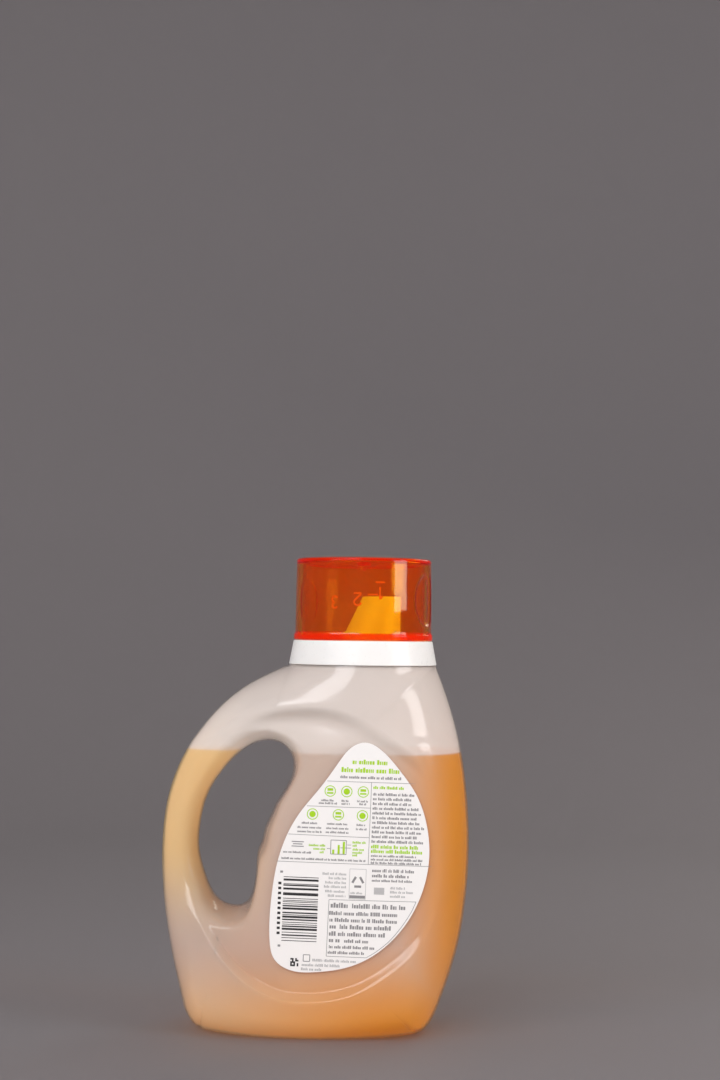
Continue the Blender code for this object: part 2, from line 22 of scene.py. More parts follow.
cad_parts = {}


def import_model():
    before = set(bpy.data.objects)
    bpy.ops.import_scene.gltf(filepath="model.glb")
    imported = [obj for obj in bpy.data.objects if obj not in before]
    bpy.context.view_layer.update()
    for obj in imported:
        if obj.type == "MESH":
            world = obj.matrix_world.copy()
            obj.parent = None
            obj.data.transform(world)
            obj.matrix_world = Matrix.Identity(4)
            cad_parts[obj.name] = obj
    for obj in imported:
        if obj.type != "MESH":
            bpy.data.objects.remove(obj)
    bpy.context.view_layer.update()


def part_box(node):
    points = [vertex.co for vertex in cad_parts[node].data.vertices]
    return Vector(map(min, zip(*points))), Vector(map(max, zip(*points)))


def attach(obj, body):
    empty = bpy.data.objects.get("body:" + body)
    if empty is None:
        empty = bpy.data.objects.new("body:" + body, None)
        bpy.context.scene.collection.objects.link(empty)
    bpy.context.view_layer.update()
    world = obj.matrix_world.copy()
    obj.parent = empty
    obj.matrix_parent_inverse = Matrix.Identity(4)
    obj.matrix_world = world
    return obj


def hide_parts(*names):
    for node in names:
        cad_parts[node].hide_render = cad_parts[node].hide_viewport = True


Socket = bpy.types.NodeSocket
LOG = logging.getLogger("detergent bottle")
BOTTLE_BODY = "filled_bottle"
CAP_BODY = "screw_cap"
MILLIMETRE = 0.001
FULL_TURN = 2 * math.pi
STAND_OFF = 0.00002
THREAD_TURNS = 1.5
THREAD_HALF_WIDTH = 0.0006
THREAD_RISE = 0.00022
THREAD_CLEARANCE = 0.0006


def linear(colour: str) -> tuple[float, float, float, float]:
    """Turn an sRGB hex colour to linear.

    Args:
        colour: Six hex digits after a hash sign.

    Returns:
        Linear red, green and blue, and a full alpha.
    """
    channels = (int(colour[at : at + 2], 16) / 255 for at in (1, 3, 5))
    low_end, slope, offset, power = 0.04045, 12.92, 0.055, 2.4
    levels = (c / slope if c <= low_end else ((c + offset) / (1 + offset)) ** power for c in channels)
    return (*levels, 1.0)


@dataclass
class Recipe:
    """A material and its node tree while it is put together.

    The name says the real material and how its surface was made.
    """

    name: str
    material: bpy.types.Material = field(init=False)
    tree: bpy.types.NodeTree = field(init=False)
    output: bpy.types.Node = field(init=False)

    def __post_init__(self) -> None:
        """Start from an empty tree with an output."""
        self.material = bpy.data.materials.new(self.name)
        self.material.use_nodes = True
        self.tree = self.material.node_tree
        self.tree.nodes.clear()
        self.output = self.node("OutputMaterial")

    def node(self, kind: str, settings: dict | None = None, links: dict | None = None) -> bpy.types.Node:
        """Add a node with its settings and links.

        Args:
            kind: The node's type name, without the ShaderNode in front.
            settings: Values by input name or number, or by property name; a hex string is an sRGB colour.
            links: Source sockets by input name or number.

        Returns:
            The new node.
        """
        made = self.tree.nodes.new("ShaderNode" + kind)
        for name, value in (settings or {}).items():
            if isinstance(value, str) and value.startswith("#"):
                value = linear(value)
            if isinstance(name, int) or name in made.inputs:
                made.inputs[name].default_value = value
            else:
                setattr(made, name, value)
        for name, source in (links or {}).items():
            self.tree.links.new(source, made.inputs[name])
        return made

    def axes(self) -> bpy.types.bpy_prop_collection:
        """The object's own coordinates in metres, one output for each axis."""
        return self.node("SeparateXYZ", links={0: self.node("TexCoord").outputs["Object"]}).outputs

    def noise(self, scale: float, detail: float = 1.0) -> Socket:
        """Noise that is fixed to the object, with its scale per metre."""
        place = self.node("TexCoord").outputs["Object"]
        return self.node("TexNoise", {"Scale": scale, "Detail": detail}, {"Vector": place}).outputs["Fac"]

    def bumped(self, height: Socket, strength: float, distance: float, below: Socket | None = None) -> Socket:
        """Turn a height into a normal.

        Args:
            height: The height from 0 to 1.
            strength: How strongly it shows.
            distance: What a height of 1 is in metres.
            below: The normal of a bump that this one lies on.

        Returns:
            The normal.
        """
        links = {"Height": height} if below is None else {"Height": height, "Normal": below}
        return self.node("Bump", {"Strength": strength, "Distance": distance}, links).outputs["Normal"]

    def mapped(
        self, value: Socket, ends: tuple[float, float], onto: tuple[float, float] = (0.0, 1.0),
        shape: str = "LINEAR",
    ) -> Socket:
        """Map a value from one range onto another and hold it at the ends.

        Args:
            value: The value to map.
            ends: Where the range starts and ends.
            onto: What it becomes at the start and at the end.
            shape: How it runs in between.

        Returns:
            The mapped value.
        """
        settings = dict(zip(("From Min", "From Max", "To Min", "To Max"), (*ends, *onto)))
        settings["interpolation_type"] = shape
        return self.node("MapRange", settings, {"Value": value}).outputs["Result"]

    def joined(self, operation: str, *shares: Socket) -> Socket:
        """Put shares together, one after the other, by a sum that takes two."""
        made = shares[0]
        for share in shares[1:]:
            made = self.node("Math", {"operation": operation}, {0: made, 1: share}).outputs[0]
        return made

    def mixed(self, share: Socket, first: str | Socket, second: str | Socket) -> Socket:
        """Mix two colours, given as hex strings or sockets; the share is the second one's."""
        settings, links = {"data_type": "RGBA"}, {0: share}
        for at, colour in ((6, first), (7, second)):
            (settings if isinstance(colour, str) else links)[at] = colour
        return self.node("Mix", settings, links).outputs[2]

    def shader(self, kind: str, settings: dict | None = None, links: dict | None = None) -> Socket:
        """Add a surface shader as a node is added, and hand on its output."""
        return self.node("Bsdf" + kind, settings, links).outputs["BSDF"]

    def blended(self, share: float | Socket, first: Socket, second: Socket) -> Socket:
        """Mix two shaders; the share is the second one's."""
        settings, links = {}, {1: first, 2: second}
        (settings if isinstance(share, float) else links)[0] = share
        return self.node("MixShader", settings, links).outputs["Shader"]

    def lit_through(self, seen: Socket, lamp_colour: str, *rays: str) -> Socket:
        """Let lamps shine through a skin, so that what lies inside is lit.

        Args:
            seen: The shader that the eye sees.
            lamp_colour: What the skin leaves of the lamps' light.
            rays: The kinds of rays that pass; shadow rays, if none is named.

        Returns:
            The shader to use.
        """
        path = self.node("LightPath").outputs
        passing = self.joined("MAXIMUM", *(path[ray] for ray in rays or ("Is Shadow Ray",)))
        return self.blended(passing, seen, self.shader("Transparent", {"Color": lamp_colour}))

    def amber_with_painted_glow(self, tones: tuple[str, str, str], filled: Socket | None = None) -> Socket:
        """Colour the filled body with painted glow: yellower in the handle and the bottom, gold low down and
        on the pouring side.

        Args:
            tones: The plain colour, the handle's painted glow and the painted gold glow.
            filled: Where the liquid is, if the material reaches above it.

        Returns:
            The colour.
        """
        axes = self.axes()

        def rise(axis: str, start: float, end: float) -> Socket:
            """A share that rises from one place on an axis to another, both in metres."""
            return self.mapped(axes[axis], (start, end), shape="SMOOTHSTEP")

        # Painted glow: masks where the colour turns yellower or gold, standing in for light shining through
        # thin liquid and from behind.
        base = self.joined("MULTIPLY", rise("Z", 0.070, 0.000), rise("X", -0.090, 0.050))
        painted_glow = self.joined("MAXIMUM", base, rise("X", 0.032, 0.080))
        handle = self.joined("MULTIPLY", rise("X", -0.014, -0.052), rise("Z", 0.045, 0.100))
        painted_thin_glow = self.joined("MAXIMUM", handle, rise("Z", 0.050, -0.010))
        colour = tones[0]
        for share, tone in ((painted_thin_glow, tones[1]), (painted_glow, tones[2])):
            within = share if filled is None else self.joined("MULTIPLY", share, filled)
            colour = self.mixed(within, colour, tone)
        return colour

    def finish(self, surface: Socket, tint: tuple[str, float] | None = None) -> bpy.types.Material:
        """Link the surface, and the colour and density that light is tinted with inside, if any."""
        self.tree.links.new(surface, self.output.inputs["Surface"])
        if tint is not None:
            inside = self.node("VolumeAbsorption", dict(zip(("Color", "Density"), tint)))
            self.tree.links.new(inside.outputs["Volume"], self.output.inputs["Volume"])
        return self.material


def natural_spline(knots: Sequence[float], values: Sequence[float], at: Sequence[float]) -> np.ndarray:
    """Read the natural cubic spline through values at knots.

    Args:
        knots: Rising places of the values.
        values: The values there.
        at: The places to read.

    Returns:
        The curve's values at those places.
    """
    knots, values, at = (np.asarray(given, dtype=float) for given in (knots, values, at))
    steps = np.diff(knots)
    count = len(knots)
    matrix = np.eye(count)
    right = np.zeros(count)
    for row in range(1, count - 1):
        matrix[row, row - 1 : row + 2] = steps[row - 1], 2 * (steps[row - 1] + steps[row]), steps[row]
        slopes = np.diff(values[row - 1 : row + 2]) / steps[row - 1 : row + 1]
        right[row] = 6 * (slopes[1] - slopes[0])
    bend = np.linalg.solve(matrix, right)
    cell = np.clip(np.searchsorted(knots, at) - 1, 0, count - 2)
    width = steps[cell]
    after, before = at - knots[cell], knots[cell + 1] - at
    curve = (bend[cell] * before**3 + bend[cell + 1] * after**3) / (6 * width)
    start = (values[cell] / width - bend[cell] * width / 6) * before
    end = (values[cell + 1] / width - bend[cell + 1] * width / 6) * after
    return curve + start + end


def path_through(points: Sequence[np.ndarray], steps: int) -> np.ndarray:
    """Space points evenly on the smooth path through the given points.

    Args:
        points: Places that the path passes.
        steps: How many stretches to make.

    Returns:
        One more point than stretches.
    """
    points = np.asarray(points)
    lengths = np.concatenate(([0.0], np.cumsum(np.linalg.norm(np.diff(points, axis=0), axis=1))))
    at = np.linspace(0.0, lengths[-1], steps + 1)
    return np.column_stack([natural_spline(lengths, points[:, axis], at) for axis in (0, 1)])


def closed_path(points: Sequence[np.ndarray], steps: int) -> np.ndarray:
    """Space points evenly on the smooth closed path through the given points.

    Args:
        points: Places that the path passes, the first not repeated.
        steps: How many points to make.

    Returns:
        The points in order.
    """
    points = np.asarray(points)
    lap = 4
    wrapped = np.concatenate((points[-lap:], points, points[: lap + 1]))
    lengths = np.concatenate(([0.0], np.cumsum(np.linalg.norm(np.diff(wrapped, axis=0), axis=1))))
    at = np.linspace(lengths[lap], lengths[lap + len(points)], steps, endpoint=False)
    return np.column_stack([natural_spline(lengths, wrapped[:, axis], at) for axis in (0, 1)])


def ease(value: float) -> float:
    """Rise smoothly from 0 to 1."""
    value = min(max(value, 0.0), 1.0)
    return value * value * (3 - 2 * value)


def ramp(value: float, edge: float) -> float:
    """Rise from 0 to 1, straight between two rounded ends.

    Args:
        value: Place along the rise.
        edge: The share that each rounded end takes.

    Returns:
        The height there.
    """
    value = min(max(value, 0.0), 1.0)
    near = min(value, 1.0 - value)
    rise = near * near / (2 * edge) if near < edge else near - edge / 2
    rise /= 1.0 - edge
    return rise if value <= 0.5 else 1.0 - rise


def make_piece(
    mesh: bmesh.types.BMesh, name: str, body: str, materials: Iterable[bpy.types.Material],
    sharp_degrees: float = 40.0, replaced: str | None = None,
) -> bpy.types.Object:
    """Turn a bmesh into a smooth-shaded piece that rides on a body.

    Args:
        mesh: The shape, which is used up.
        name: The piece's name.
        body: The body that it moves with.
        materials: Its material slots in order.
        sharp_degrees: Edges sharper than this stay sharp.
        replaced: The frame's node that it stands for.

    Returns:
        The finished object.
    """
    data = bpy.data.meshes.new(name)
    mesh.to_mesh(data)
    mesh.free()
    data.shade_smooth()
    data.set_sharp_from_angle(angle=math.radians(sharp_degrees))
    for material in materials:
        data.materials.append(material)
    piece = bpy.data.objects.new(name, data)
    bpy.context.collection.objects.link(piece)
    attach(piece, body)
    if replaced is not None:
        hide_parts(replaced)
    LOG.info("%s: %d faces", name, len(data.polygons))
    return piece


@dataclass
class BodyForm:
    """The outer form of the blown body, as sections wrapped round the handle gap.

    Outline points are shares of half the width and of the shoulder height, seen from the label side.
    """

    half_width: float
    half_depth: float
    neck_top: float
    neck_height: float = 0.0103
    neck_x: float = 0.0245
    shoulder_radius: float = 0.0400
    neck_radius: float = 0.0366
    wall: float = 0.0010
    gap: float = 0.0003
    foot_corner: float = 0.0100
    corner_fullness: float = 0.43
    foot_land: float = 0.0065
    foot_fullness: float = 2.05
    push_up: float = 0.0030
    panel_depth: float = 0.0032
    panel_bow: float = 0.0040
    recess_band: float = 0.0060
    recess_top_band: float = 0.0120
    recess_edge: float = 0.18
    recess_top_edge: float = 0.50
    dish_slope: float = 0.30
    ridge_radius: float = 0.0958
    ridge_round: float = 0.0020
    section_reach: float = 0.0400
    blend_depth: float = 0.040
    blend_passes: int = 40
    quarter_points: int = 40
    most_rounds: float = 0.97
    least_to_band: float = 0.45
    most_to_band: float = 0.80
    least_to_panel: float = 0.40
    least_band: float = 0.08
    most_gap_round: float = 0.7
    most_shell_factor: float = 1.5
    stations: dict[str, int] = field(default_factory=lambda: {
        "neck": 72, "left": 72, "left corner": 14, "base": 56, "right corner": 14, "right": 72,
    })
    section_steps: dict[str, int] = field(default_factory=lambda: {
        "gap round": 12, "panel": 12, "band": 14, "side": 14, "foot": 8,
    })
    left_side: tuple = (
        (-0.433, 0.953), (-0.695, 0.859), (-0.863, 0.752), (-0.962, 0.641),
        (-1.000, 0.509), (-0.986, 0.359), (-0.932, 0.214), (-0.846, 0.065),
    )
    base_left: tuple[float, float] = (-0.724, 0.0)
    base_right: tuple[float, float] = (0.688, 0.0)
    right_side: tuple = (
        (0.836, 0.096), (0.921, 0.209), (0.976, 0.336), (1.000, 0.484),
        (0.991, 0.606), (0.945, 0.762), (0.864, 0.900),
    )
    ring_centre: tuple[float, float] = (-0.478, 0.539)
    handle_gap: tuple = (
        (-0.151, 0.725), (-0.166, 0.751), (-0.236, 0.781), (-0.321, 0.788), (-0.438, 0.772),
        (-0.568, 0.726), (-0.696, 0.647), (-0.751, 0.564), (-0.754, 0.475), (-0.699, 0.398),
        (-0.619, 0.344), (-0.527, 0.328), (-0.436, 0.345), (-0.398, 0.386), (-0.379, 0.452),
        (-0.359, 0.500), (-0.335, 0.538), (-0.310, 0.569), (-0.278, 0.600), (-0.237, 0.633),
        (-0.170, 0.683),
    )
    recess: tuple = (
        (-0.840, 0.400), (-0.711, 0.286), (-0.583, 0.213), (-0.455, 0.161), (-0.326, 0.128),
        (-0.199, 0.108), (-0.042, 0.102), (0.147, 0.110), (0.335, 0.137), (0.491, 0.179),
        (0.616, 0.224), (0.740, 0.299), (0.830, 0.400), (0.880, 0.520), (0.850, 0.650), (0.715, 0.740),
        (0.510, 0.805), (0.260, 0.870), (-0.102, 0.896), (-0.417, 0.871), (-0.646, 0.791),
        (-0.810, 0.670), (-0.880, 0.520),
    )
    ridge_centre: tuple[float, float] = (0.811, 0.393)
    sections: tuple = (
        (-172, 0.275, 0.245, 0.245), (-150, 0.300, 0.275, 0.288), (-127, 0.420, 0.375, 0.475),
        (-110, 0.660, 0.425, 0.650), (-97, 0.860, 0.375, 0.425), (-84, 0.960, 0.300, 0.325),
        (-65, 1.000, 0.250, 0.325), (-47, 1.000, 0.225, 0.500), (-30, 1.000, 0.225, 0.750),
        (-4, 1.000, 0.250, 0.900), (25, 1.000, 0.275, 0.900), (41, 0.985, 0.325, 0.850),
        (60, 0.950, 0.400, 1.000), (75, 0.820, 0.400, 0.750), (90, 0.580, 0.350, 0.475),
        (110, 0.370, 0.288, 0.338), (140, 0.285, 0.250, 0.275),
    )

    @property
    def shoulder_height(self) -> float:
        """Where the shoulder ends and the neck starts."""
        return self.neck_top - self.neck_height

    def place(self, share: Sequence[float]) -> np.ndarray:
        """Turn shares of the label side into metres."""
        return np.array((share[0] * self.half_width, share[1] * self.shoulder_height))

    @staticmethod
    def round_trip(angles: Sequence[float], values: Sequence[float], at: float) -> float:
        """Read a smooth closed function of direction.

        Args:
            angles: Directions in radians where it is known.
            values: Its values there.
            at: The direction to read.

        Returns:
            The value.
        """
        order = np.argsort(angles)
        angles, values = np.asarray(angles)[order], np.asarray(values)[order]
        angles = np.concatenate((angles - FULL_TURN, angles, angles + FULL_TURN))
        return float(natural_spline(angles, np.tile(values, 3), [at])[0])

    def ring_radius(self, shares: Sequence[tuple[float, float]], at: float) -> float:
        """How far a ring lies from the middle of the handle gap in one direction."""
        offsets = np.array([self.place(share) - self.place(self.ring_centre) for share in shares])
        return self.round_trip(np.arctan2(offsets[:, 1], offsets[:, 0]), np.hypot(*offsets.T), at)

    def section_sizes(self, point: np.ndarray) -> tuple[float, float, float]:
        """The half-depth and the two rounds of the section that ends at a point of the outline."""
        offset = point - self.place(self.ring_centre)
        direction = math.atan2(offset[1], offset[0])
        angles = [math.radians(row[0]) for row in self.sections]
        sizes = [self.round_trip(angles, [row[at] for row in self.sections], direction) for at in (1, 2, 3)]
        rounds = (sizes[1] * self.section_reach, sizes[2] * self.section_reach)
        return min(sizes[0], 1.0) * self.half_depth, *rounds

    def foot_half_depth(self, x: float) -> float:
        """Half the depth of the oval foot at a place along the base."""
        left, right = self.place(self.base_left)[0], self.place(self.base_right)[0]
        share = (2 * x - left - right) / (right - left)
        oval = max(0.0, 1.0 - abs(share) ** self.foot_fullness) ** (1 / self.foot_fullness)
        return (self.section_sizes(np.array((x, 0.0)))[0] - self.foot_corner) * oval

    def corner(self, start: np.ndarray, before: np.ndarray, end: np.ndarray, steps: int) -> np.ndarray:
        """The round bottom corner from a side to the flat of the base.

        Args:
            start: Where the side ends.
            before: The side's point before that.
            end: Where the flat of the base starts.
            steps: How many stretches to make.

        Returns:
            The corner's points.
        """
        heading = (start - before) / np.linalg.norm(start - before)
        to_base = start + heading * start[1] / abs(heading[1]) * self.corner_fullness
        along = end + np.array((start[0] - end[0], 0.0)) * self.corner_fullness
        curve = interpolate_bezier(*(Vector((*p, 0.0)) for p in (start, to_base, along, end)), steps + 1)
        return np.array([(point.x, point.y) for point in curve])

    def outline_stations(self) -> list[tuple[np.ndarray, float]]:
        """The outline's points, each with the half-width of the flat that ends its section."""
        counts, flats = self.stations, []
        neck = np.array((self.neck_x, self.shoulder_height))
        reach = np.array((self.shoulder_radius, 0.0))
        for step in range(counts["neck"]):
            turn = math.pi * step / counts["neck"]
            flats.append((neck + reach * math.cos(turn), self.shoulder_radius * math.sin(turn)))
        left_path = path_through([neck - reach, *map(self.place, self.left_side)], counts["left"])
        right_path = path_through([*map(self.place, self.right_side), neck + reach], counts["right"])
        left, right = self.place(self.base_left), self.place(self.base_right)
        left_corner = self.corner(left_path[-1], left_path[-2], left, counts["left corner"])
        right_corner = self.corner(right_path[0], right_path[1], right, counts["right corner"])[::-1]
        plain = [(point, 0.0) for path in (left_path[:-1], left_corner[:-1]) for point in path]
        for step in range(counts["base"]):
            share = -math.cos(math.pi * step / counts["base"])
            point = (left + right) / 2 + (right - left) / 2 * share
            plain.append((point, self.foot_half_depth(point[0])))
        plain += [(point, 0.0) for path in (right_corner[:-1], right_path[:-1]) for point in path]
        return flats + plain

    def panel_at(self, x: float, z: float) -> float:
        """How far the label panel, and the dish beside it, stand from the middle plane."""
        beyond = math.hypot(*(self.place(self.ridge_centre) - (x, z))) - self.ridge_radius
        fall = 0.5 * (beyond + math.hypot(beyond, self.ridge_round))
        bow = self.panel_bow * ((x - self.neck_x) / self.half_width) ** 2
        return self.half_depth - self.panel_depth - bow - self.dish_slope * fall

    def band_at(self, heading: np.ndarray) -> tuple[float, float]:
        """The width of the slope round the recess in a direction, and the share of each rounded end."""
        upwards = ease(heading[1] / math.sin(math.pi / 4))
        width = self.recess_band + (self.recess_top_band - self.recess_band) * upwards
        return width, self.recess_edge + (self.recess_top_edge - self.recess_edge) * upwards

    def recessed(self, depth: float, x: float, z: float, share: float) -> float:
        """Cut the recess into the face.

        Args:
            depth: The face's half-depth without it.
            x: Place across the face.
            z: Place up the face.
            share: How much of the cut is reached there.

        Returns:
            The half-depth with the recess.
        """
        panel = self.panel_at(x, z)
        lower = 0.5 * (depth + panel - math.hypot(depth - panel, self.ridge_round))
        return max(0.0, depth + (lower - depth) * share)

    def section(self, point: np.ndarray, flat: float) -> list[tuple[float, float, float]]:
        """Half of a section, from the handle gap to the outline.

        Args:
            point: The outline's point where it ends.
            flat: Half-width of the flat there, on the neck's land or the foot.

        Returns:
            Points as x, z and half-depth.
        """
        centre, steps = self.place(self.ring_centre), self.section_steps
        offset = point - centre
        end = float(np.hypot(*offset))
        heading = offset / end
        direction = math.atan2(heading[1], heading[0])
        start = self.ring_radius(self.handle_gap, direction)
        crease = self.ring_radius(self.recess, direction)
        band, edge = self.band_at(heading)
        depth, gap_round, outer_round = self.section_sizes(point)
        fit = min(1.0, self.most_rounds * (end - start) / (gap_round + outer_round))
        gap_round, outer_round = gap_round * fit, outer_round * fit
        on_neck = (flat / self.shoulder_radius) ** 2 if point[1] > self.shoulder_height / 2 else 0.0
        quarter = np.linspace(0.0, math.pi / 2, self.quarter_points)
        gap_run = np.column_stack((start + gap_round * (1 - np.cos(quarter)), depth * np.sin(quarter)))
        rounded = flat + (depth - flat) * np.cos(quarter)
        leaning = depth + (flat - depth) * np.sin(quarter) ** 2
        outer_run = np.column_stack((
            end - outer_round * (1 - np.sin(quarter)), rounded + (leaning - rounded) * on_neck,
        ))
        run = np.concatenate((gap_run, outer_run))
        lengths = np.concatenate(([0.0], np.cumsum(np.hypot(*np.diff(run, axis=0).T))))
        total = lengths[-1]
        foot = total if flat > 0.0 else total - self.foot_land
        band_end = float(np.interp(crease, run[:, 0], lengths))
        band_end = min(max(band_end, self.least_to_band * foot), self.most_to_band * foot)
        band_start = float(np.interp(crease - band, run[:, 0], lengths))
        band_start = min(max(band_start, self.least_to_panel * foot), band_end - self.least_band * foot)
        rounded_to = float(np.interp(start + gap_round, run[:, 0], lengths))
        rounded_to = min(rounded_to, self.most_gap_round * band_start)
        marks = (0.0, rounded_to, band_start, band_end, foot)
        at = np.concatenate([
            np.linspace(marks[part], marks[part + 1], steps[name], endpoint=False)
            for part, name in enumerate(("gap round", "panel", "band", "side"))
        ])
        points = []
        for radius, half_depth in zip(np.interp(at, lengths, run[:, 0]), np.interp(at, lengths, run[:, 1])):
            x, z = centre + heading * radius
            share = ramp((crease - radius) / band, edge)
            points.append((x, z, self.recessed(half_depth, x, z, share)))
        points[0] = (*(centre + heading * start), 0.0)
        if flat > 0.0:
            points += [(*point, half_depth) for half_depth in np.linspace(flat, 0.0, steps["foot"] + 1)]
        else:
            at = np.linspace(foot, total, steps["foot"] + 1)
            ends = zip(np.interp(at, lengths, run[:, 0]), np.interp(at, lengths, run[:, 1]))
            points += [(*(centre + heading * radius), half_depth) for radius, half_depth in ends]
        points[-1] = (*point, 0.0)
        return points

    @cached_property
    def half_sections(self) -> list[list[tuple[float, float, float]]]:
        """Every half section, worked out once for the shell and the liquid."""
        return [self.section(*station) for station in self.outline_stations()]

    def skin(self) -> bmesh.types.BMesh:
        """The closed outer skin, its neck still shut: a grid wrapped round the handle gap."""
        rows = self.half_sections
        half_steps = sum(self.section_steps.values())
        mesh = bmesh.new()
        bmesh.ops.create_grid(mesh, x_segments=len(rows), y_segments=2 * half_steps, size=1.0)
        for vertex in mesh.verts:
            station = round((vertex.co.x + 1) / 2 * len(rows)) % len(rows)
            step = round((vertex.co.y + 1) / 2 * 2 * half_steps)
            x, z, half_depth = rows[station][min(step, 2 * half_steps - step)]
            vertex.co = (x, -half_depth if step <= half_steps else half_depth, z)
        bmesh.ops.remove_doubles(mesh, verts=mesh.verts, dist=1e-7)
        self.soften_shoulder(mesh)
        left, right = self.place(self.base_left)[0], self.place(self.base_right)[0]
        for vertex in (item for item in mesh.verts if abs(item.co.z) < 1e-7):
            x, y = vertex.co.x, vertex.co.y
            inside = min(self.foot_half_depth(x) - abs(y), x - left, right - x)
            vertex.co.z = self.push_up * ease(inside / self.foot_land - 1.0)
        bmesh.ops.recalc_face_normals(mesh, faces=mesh.faces)
        return mesh

    def soften_shoulder(self, mesh: bmesh.types.BMesh) -> None:
        """Blend the shoulder's front and side into each other above the recess, up to the neck."""
        centre, top = self.place(self.ring_centre), self.shoulder_height
        shoulder = []
        for vertex in (item for item in mesh.verts if top - self.blend_depth < item.co.z < top - 1e-6):
            offset = np.array((vertex.co.x, vertex.co.z)) - centre
            crease = self.ring_radius(self.recess, math.atan2(offset[1], offset[0]))
            if np.hypot(*offset) > crease + self.recess_band / 2:
                shoulder.append(vertex)
        for _ in range(self.blend_passes):
            bmesh.ops.smooth_vert(
                mesh, verts=shoulder, factor=0.5, use_axis_x=True, use_axis_y=True, use_axis_z=True,
            )

    def push_inwards(self, mesh: bmesh.types.BMesh, depth: float) -> None:
        """Move a skin's points inwards by a depth, square to its faces."""
        mesh.normal_update()
        most = self.most_shell_factor
        moves = [(v, v.normal * depth * min(v.calc_shell_factor(), most)) for v in mesh.verts]
        for vertex, move in moves:
            vertex.co -= move


def boundary(mesh: bmesh.types.BMesh) -> list[bmesh.types.BMEdge]:
    """The edges with a face on one side only."""
    return [edge for edge in mesh.edges if edge.is_boundary]


def merge_in(mesh: bmesh.types.BMesh, other: bmesh.types.BMesh) -> None:
    """Add a second bmesh to the first and use it up."""
    data = bpy.data.meshes.new("joined")
    other.to_mesh(data)
    other.free()
    mesh.from_mesh(data)
    bpy.data.meshes.remove(data)


def turned(profile: Sequence[tuple[float, float]], centre_x: float, steps: int) -> bmesh.types.BMesh:
    """Turn a closed profile about an upright axis.

    Args:
        profile: Corners as radius and height; a stretch on the axis is left out.
        centre_x: Where the axis stands.
        steps: Facets round it.

    Returns:
        The closed shape.
    """
    mesh = bmesh.new()
    verts = [mesh.verts.new((radius, 0.0, height)) for radius, height in profile]
    edges = [mesh.edges.new((verts[row], verts[(row + 1) % len(verts)])) for row in range(len(verts))]
    on_axis = [edge for edge in edges if all(abs(vertex.co.x) < 1e-9 for vertex in edge.verts)]
    bmesh.ops.delete(mesh, geom=on_axis, context="EDGES")
    bmesh.ops.spin(
        mesh, geom=[*mesh.verts, *mesh.edges], cent=(0.0, 0.0, 0.0), axis=(0.0, 0.0, 1.0),
        angle=FULL_TURN, steps=steps, use_merge=True,
    )
    bmesh.ops.remove_doubles(mesh, verts=mesh.verts, dist=1e-6)
    bmesh.ops.translate(mesh, verts=mesh.verts, vec=(centre_x, 0.0, 0.0))
    bmesh.ops.recalc_face_normals(mesh, faces=mesh.faces)
    return mesh


def arc(
    centre: tuple[float, float], radius: float, start_degrees: float, end_degrees: float, steps: int = 4,
) -> list[tuple[float, float]]:
    """Points on a round of a profile.

    Args:
        centre: The round's centre as radius and height.
        radius: Its size.
        start_degrees: Where it starts, from the outward direction.
        end_degrees: Where it ends.
        steps: How many stretches to make.

    Returns:
        The points in order.
    """
    turns = np.radians(np.linspace(start_degrees, end_degrees, steps + 1))
    return [(centre[0] + radius * math.cos(turn), centre[1] + radius * math.sin(turn)) for turn in turns]


@dataclass
class Bottle:
    """The blown shell: outer skin, neck with a low bead, and inner skin."""

    form: BodyForm
    neck_bead: float = 0.0005
    neck_bead_ends: tuple[float, float] = (0.60, 0.72)
    rim_round: float = 0.0004

    def raise_ring(
        self, mesh: bmesh.types.BMesh, edges: list[bmesh.types.BMEdge], radius: float, height: float,
    ) -> list[bmesh.types.BMEdge]:
        """Extrude a ring of edges about the neck's axis.

        Args:
            mesh: The shape.
            edges: The open ring.
            radius: The new ring's radius.
            height: The new ring's height.

        Returns:
            The new ring's edges.
        """
        made = bmesh.ops.extrude_edge_only(mesh, edges=edges)["geom"]
        for vertex in (item for item in made if isinstance(item, bmesh.types.BMVert)):
            away = Vector((vertex.co.x - self.form.neck_x, vertex.co.y)).normalized() * radius
            vertex.co = (self.form.neck_x + away.x, away.y, height)
        return [item for item in made if isinstance(item, bmesh.types.BMEdge)]

    def build(self) -> bmesh.types.BMesh:
        """Build the shell; its inner skin carries the second material."""
        form = self.form
        mesh = form.skin()
        shoulder = form.shoulder_height
        disc = [face for face in mesh.faces if all(abs(v.co.z - shoulder) < 1e-6 for v in face.verts)]
        bmesh.ops.delete(mesh, geom=disc, context="FACES")
        ring = boundary(mesh)
        bead_low, bead_high = (shoulder + share * form.neck_height for share in self.neck_bead_ends)
        top = form.neck_top - self.rim_round
        for radius, height in (
            (form.neck_radius + self.neck_bead, shoulder), (form.neck_radius, shoulder + self.neck_bead),
            (form.neck_radius, bead_low), (form.neck_radius + self.neck_bead * 0.4, bead_high),
            (form.neck_radius, bead_high + self.neck_bead), (form.neck_radius, top),
            (form.neck_radius - self.rim_round * 0.4, form.neck_top),
        ):
            ring = self.raise_ring(mesh, ring, radius, height)
        bmesh.ops.recalc_face_normals(mesh, faces=mesh.faces)
        if max(mesh.faces, key=lambda face: face.calc_center_median().x).normal.x < 0:
            bmesh.ops.reverse_faces(mesh, faces=mesh.faces)
        inner = mesh.copy()
        form.push_inwards(inner, form.wall)
        bmesh.ops.reverse_faces(inner, faces=inner.faces)
        for face in inner.faces:
            face.material_index = 1
        merge_in(mesh, inner)
        bmesh.ops.bridge_loops(mesh, edges=boundary(mesh))
        return mesh


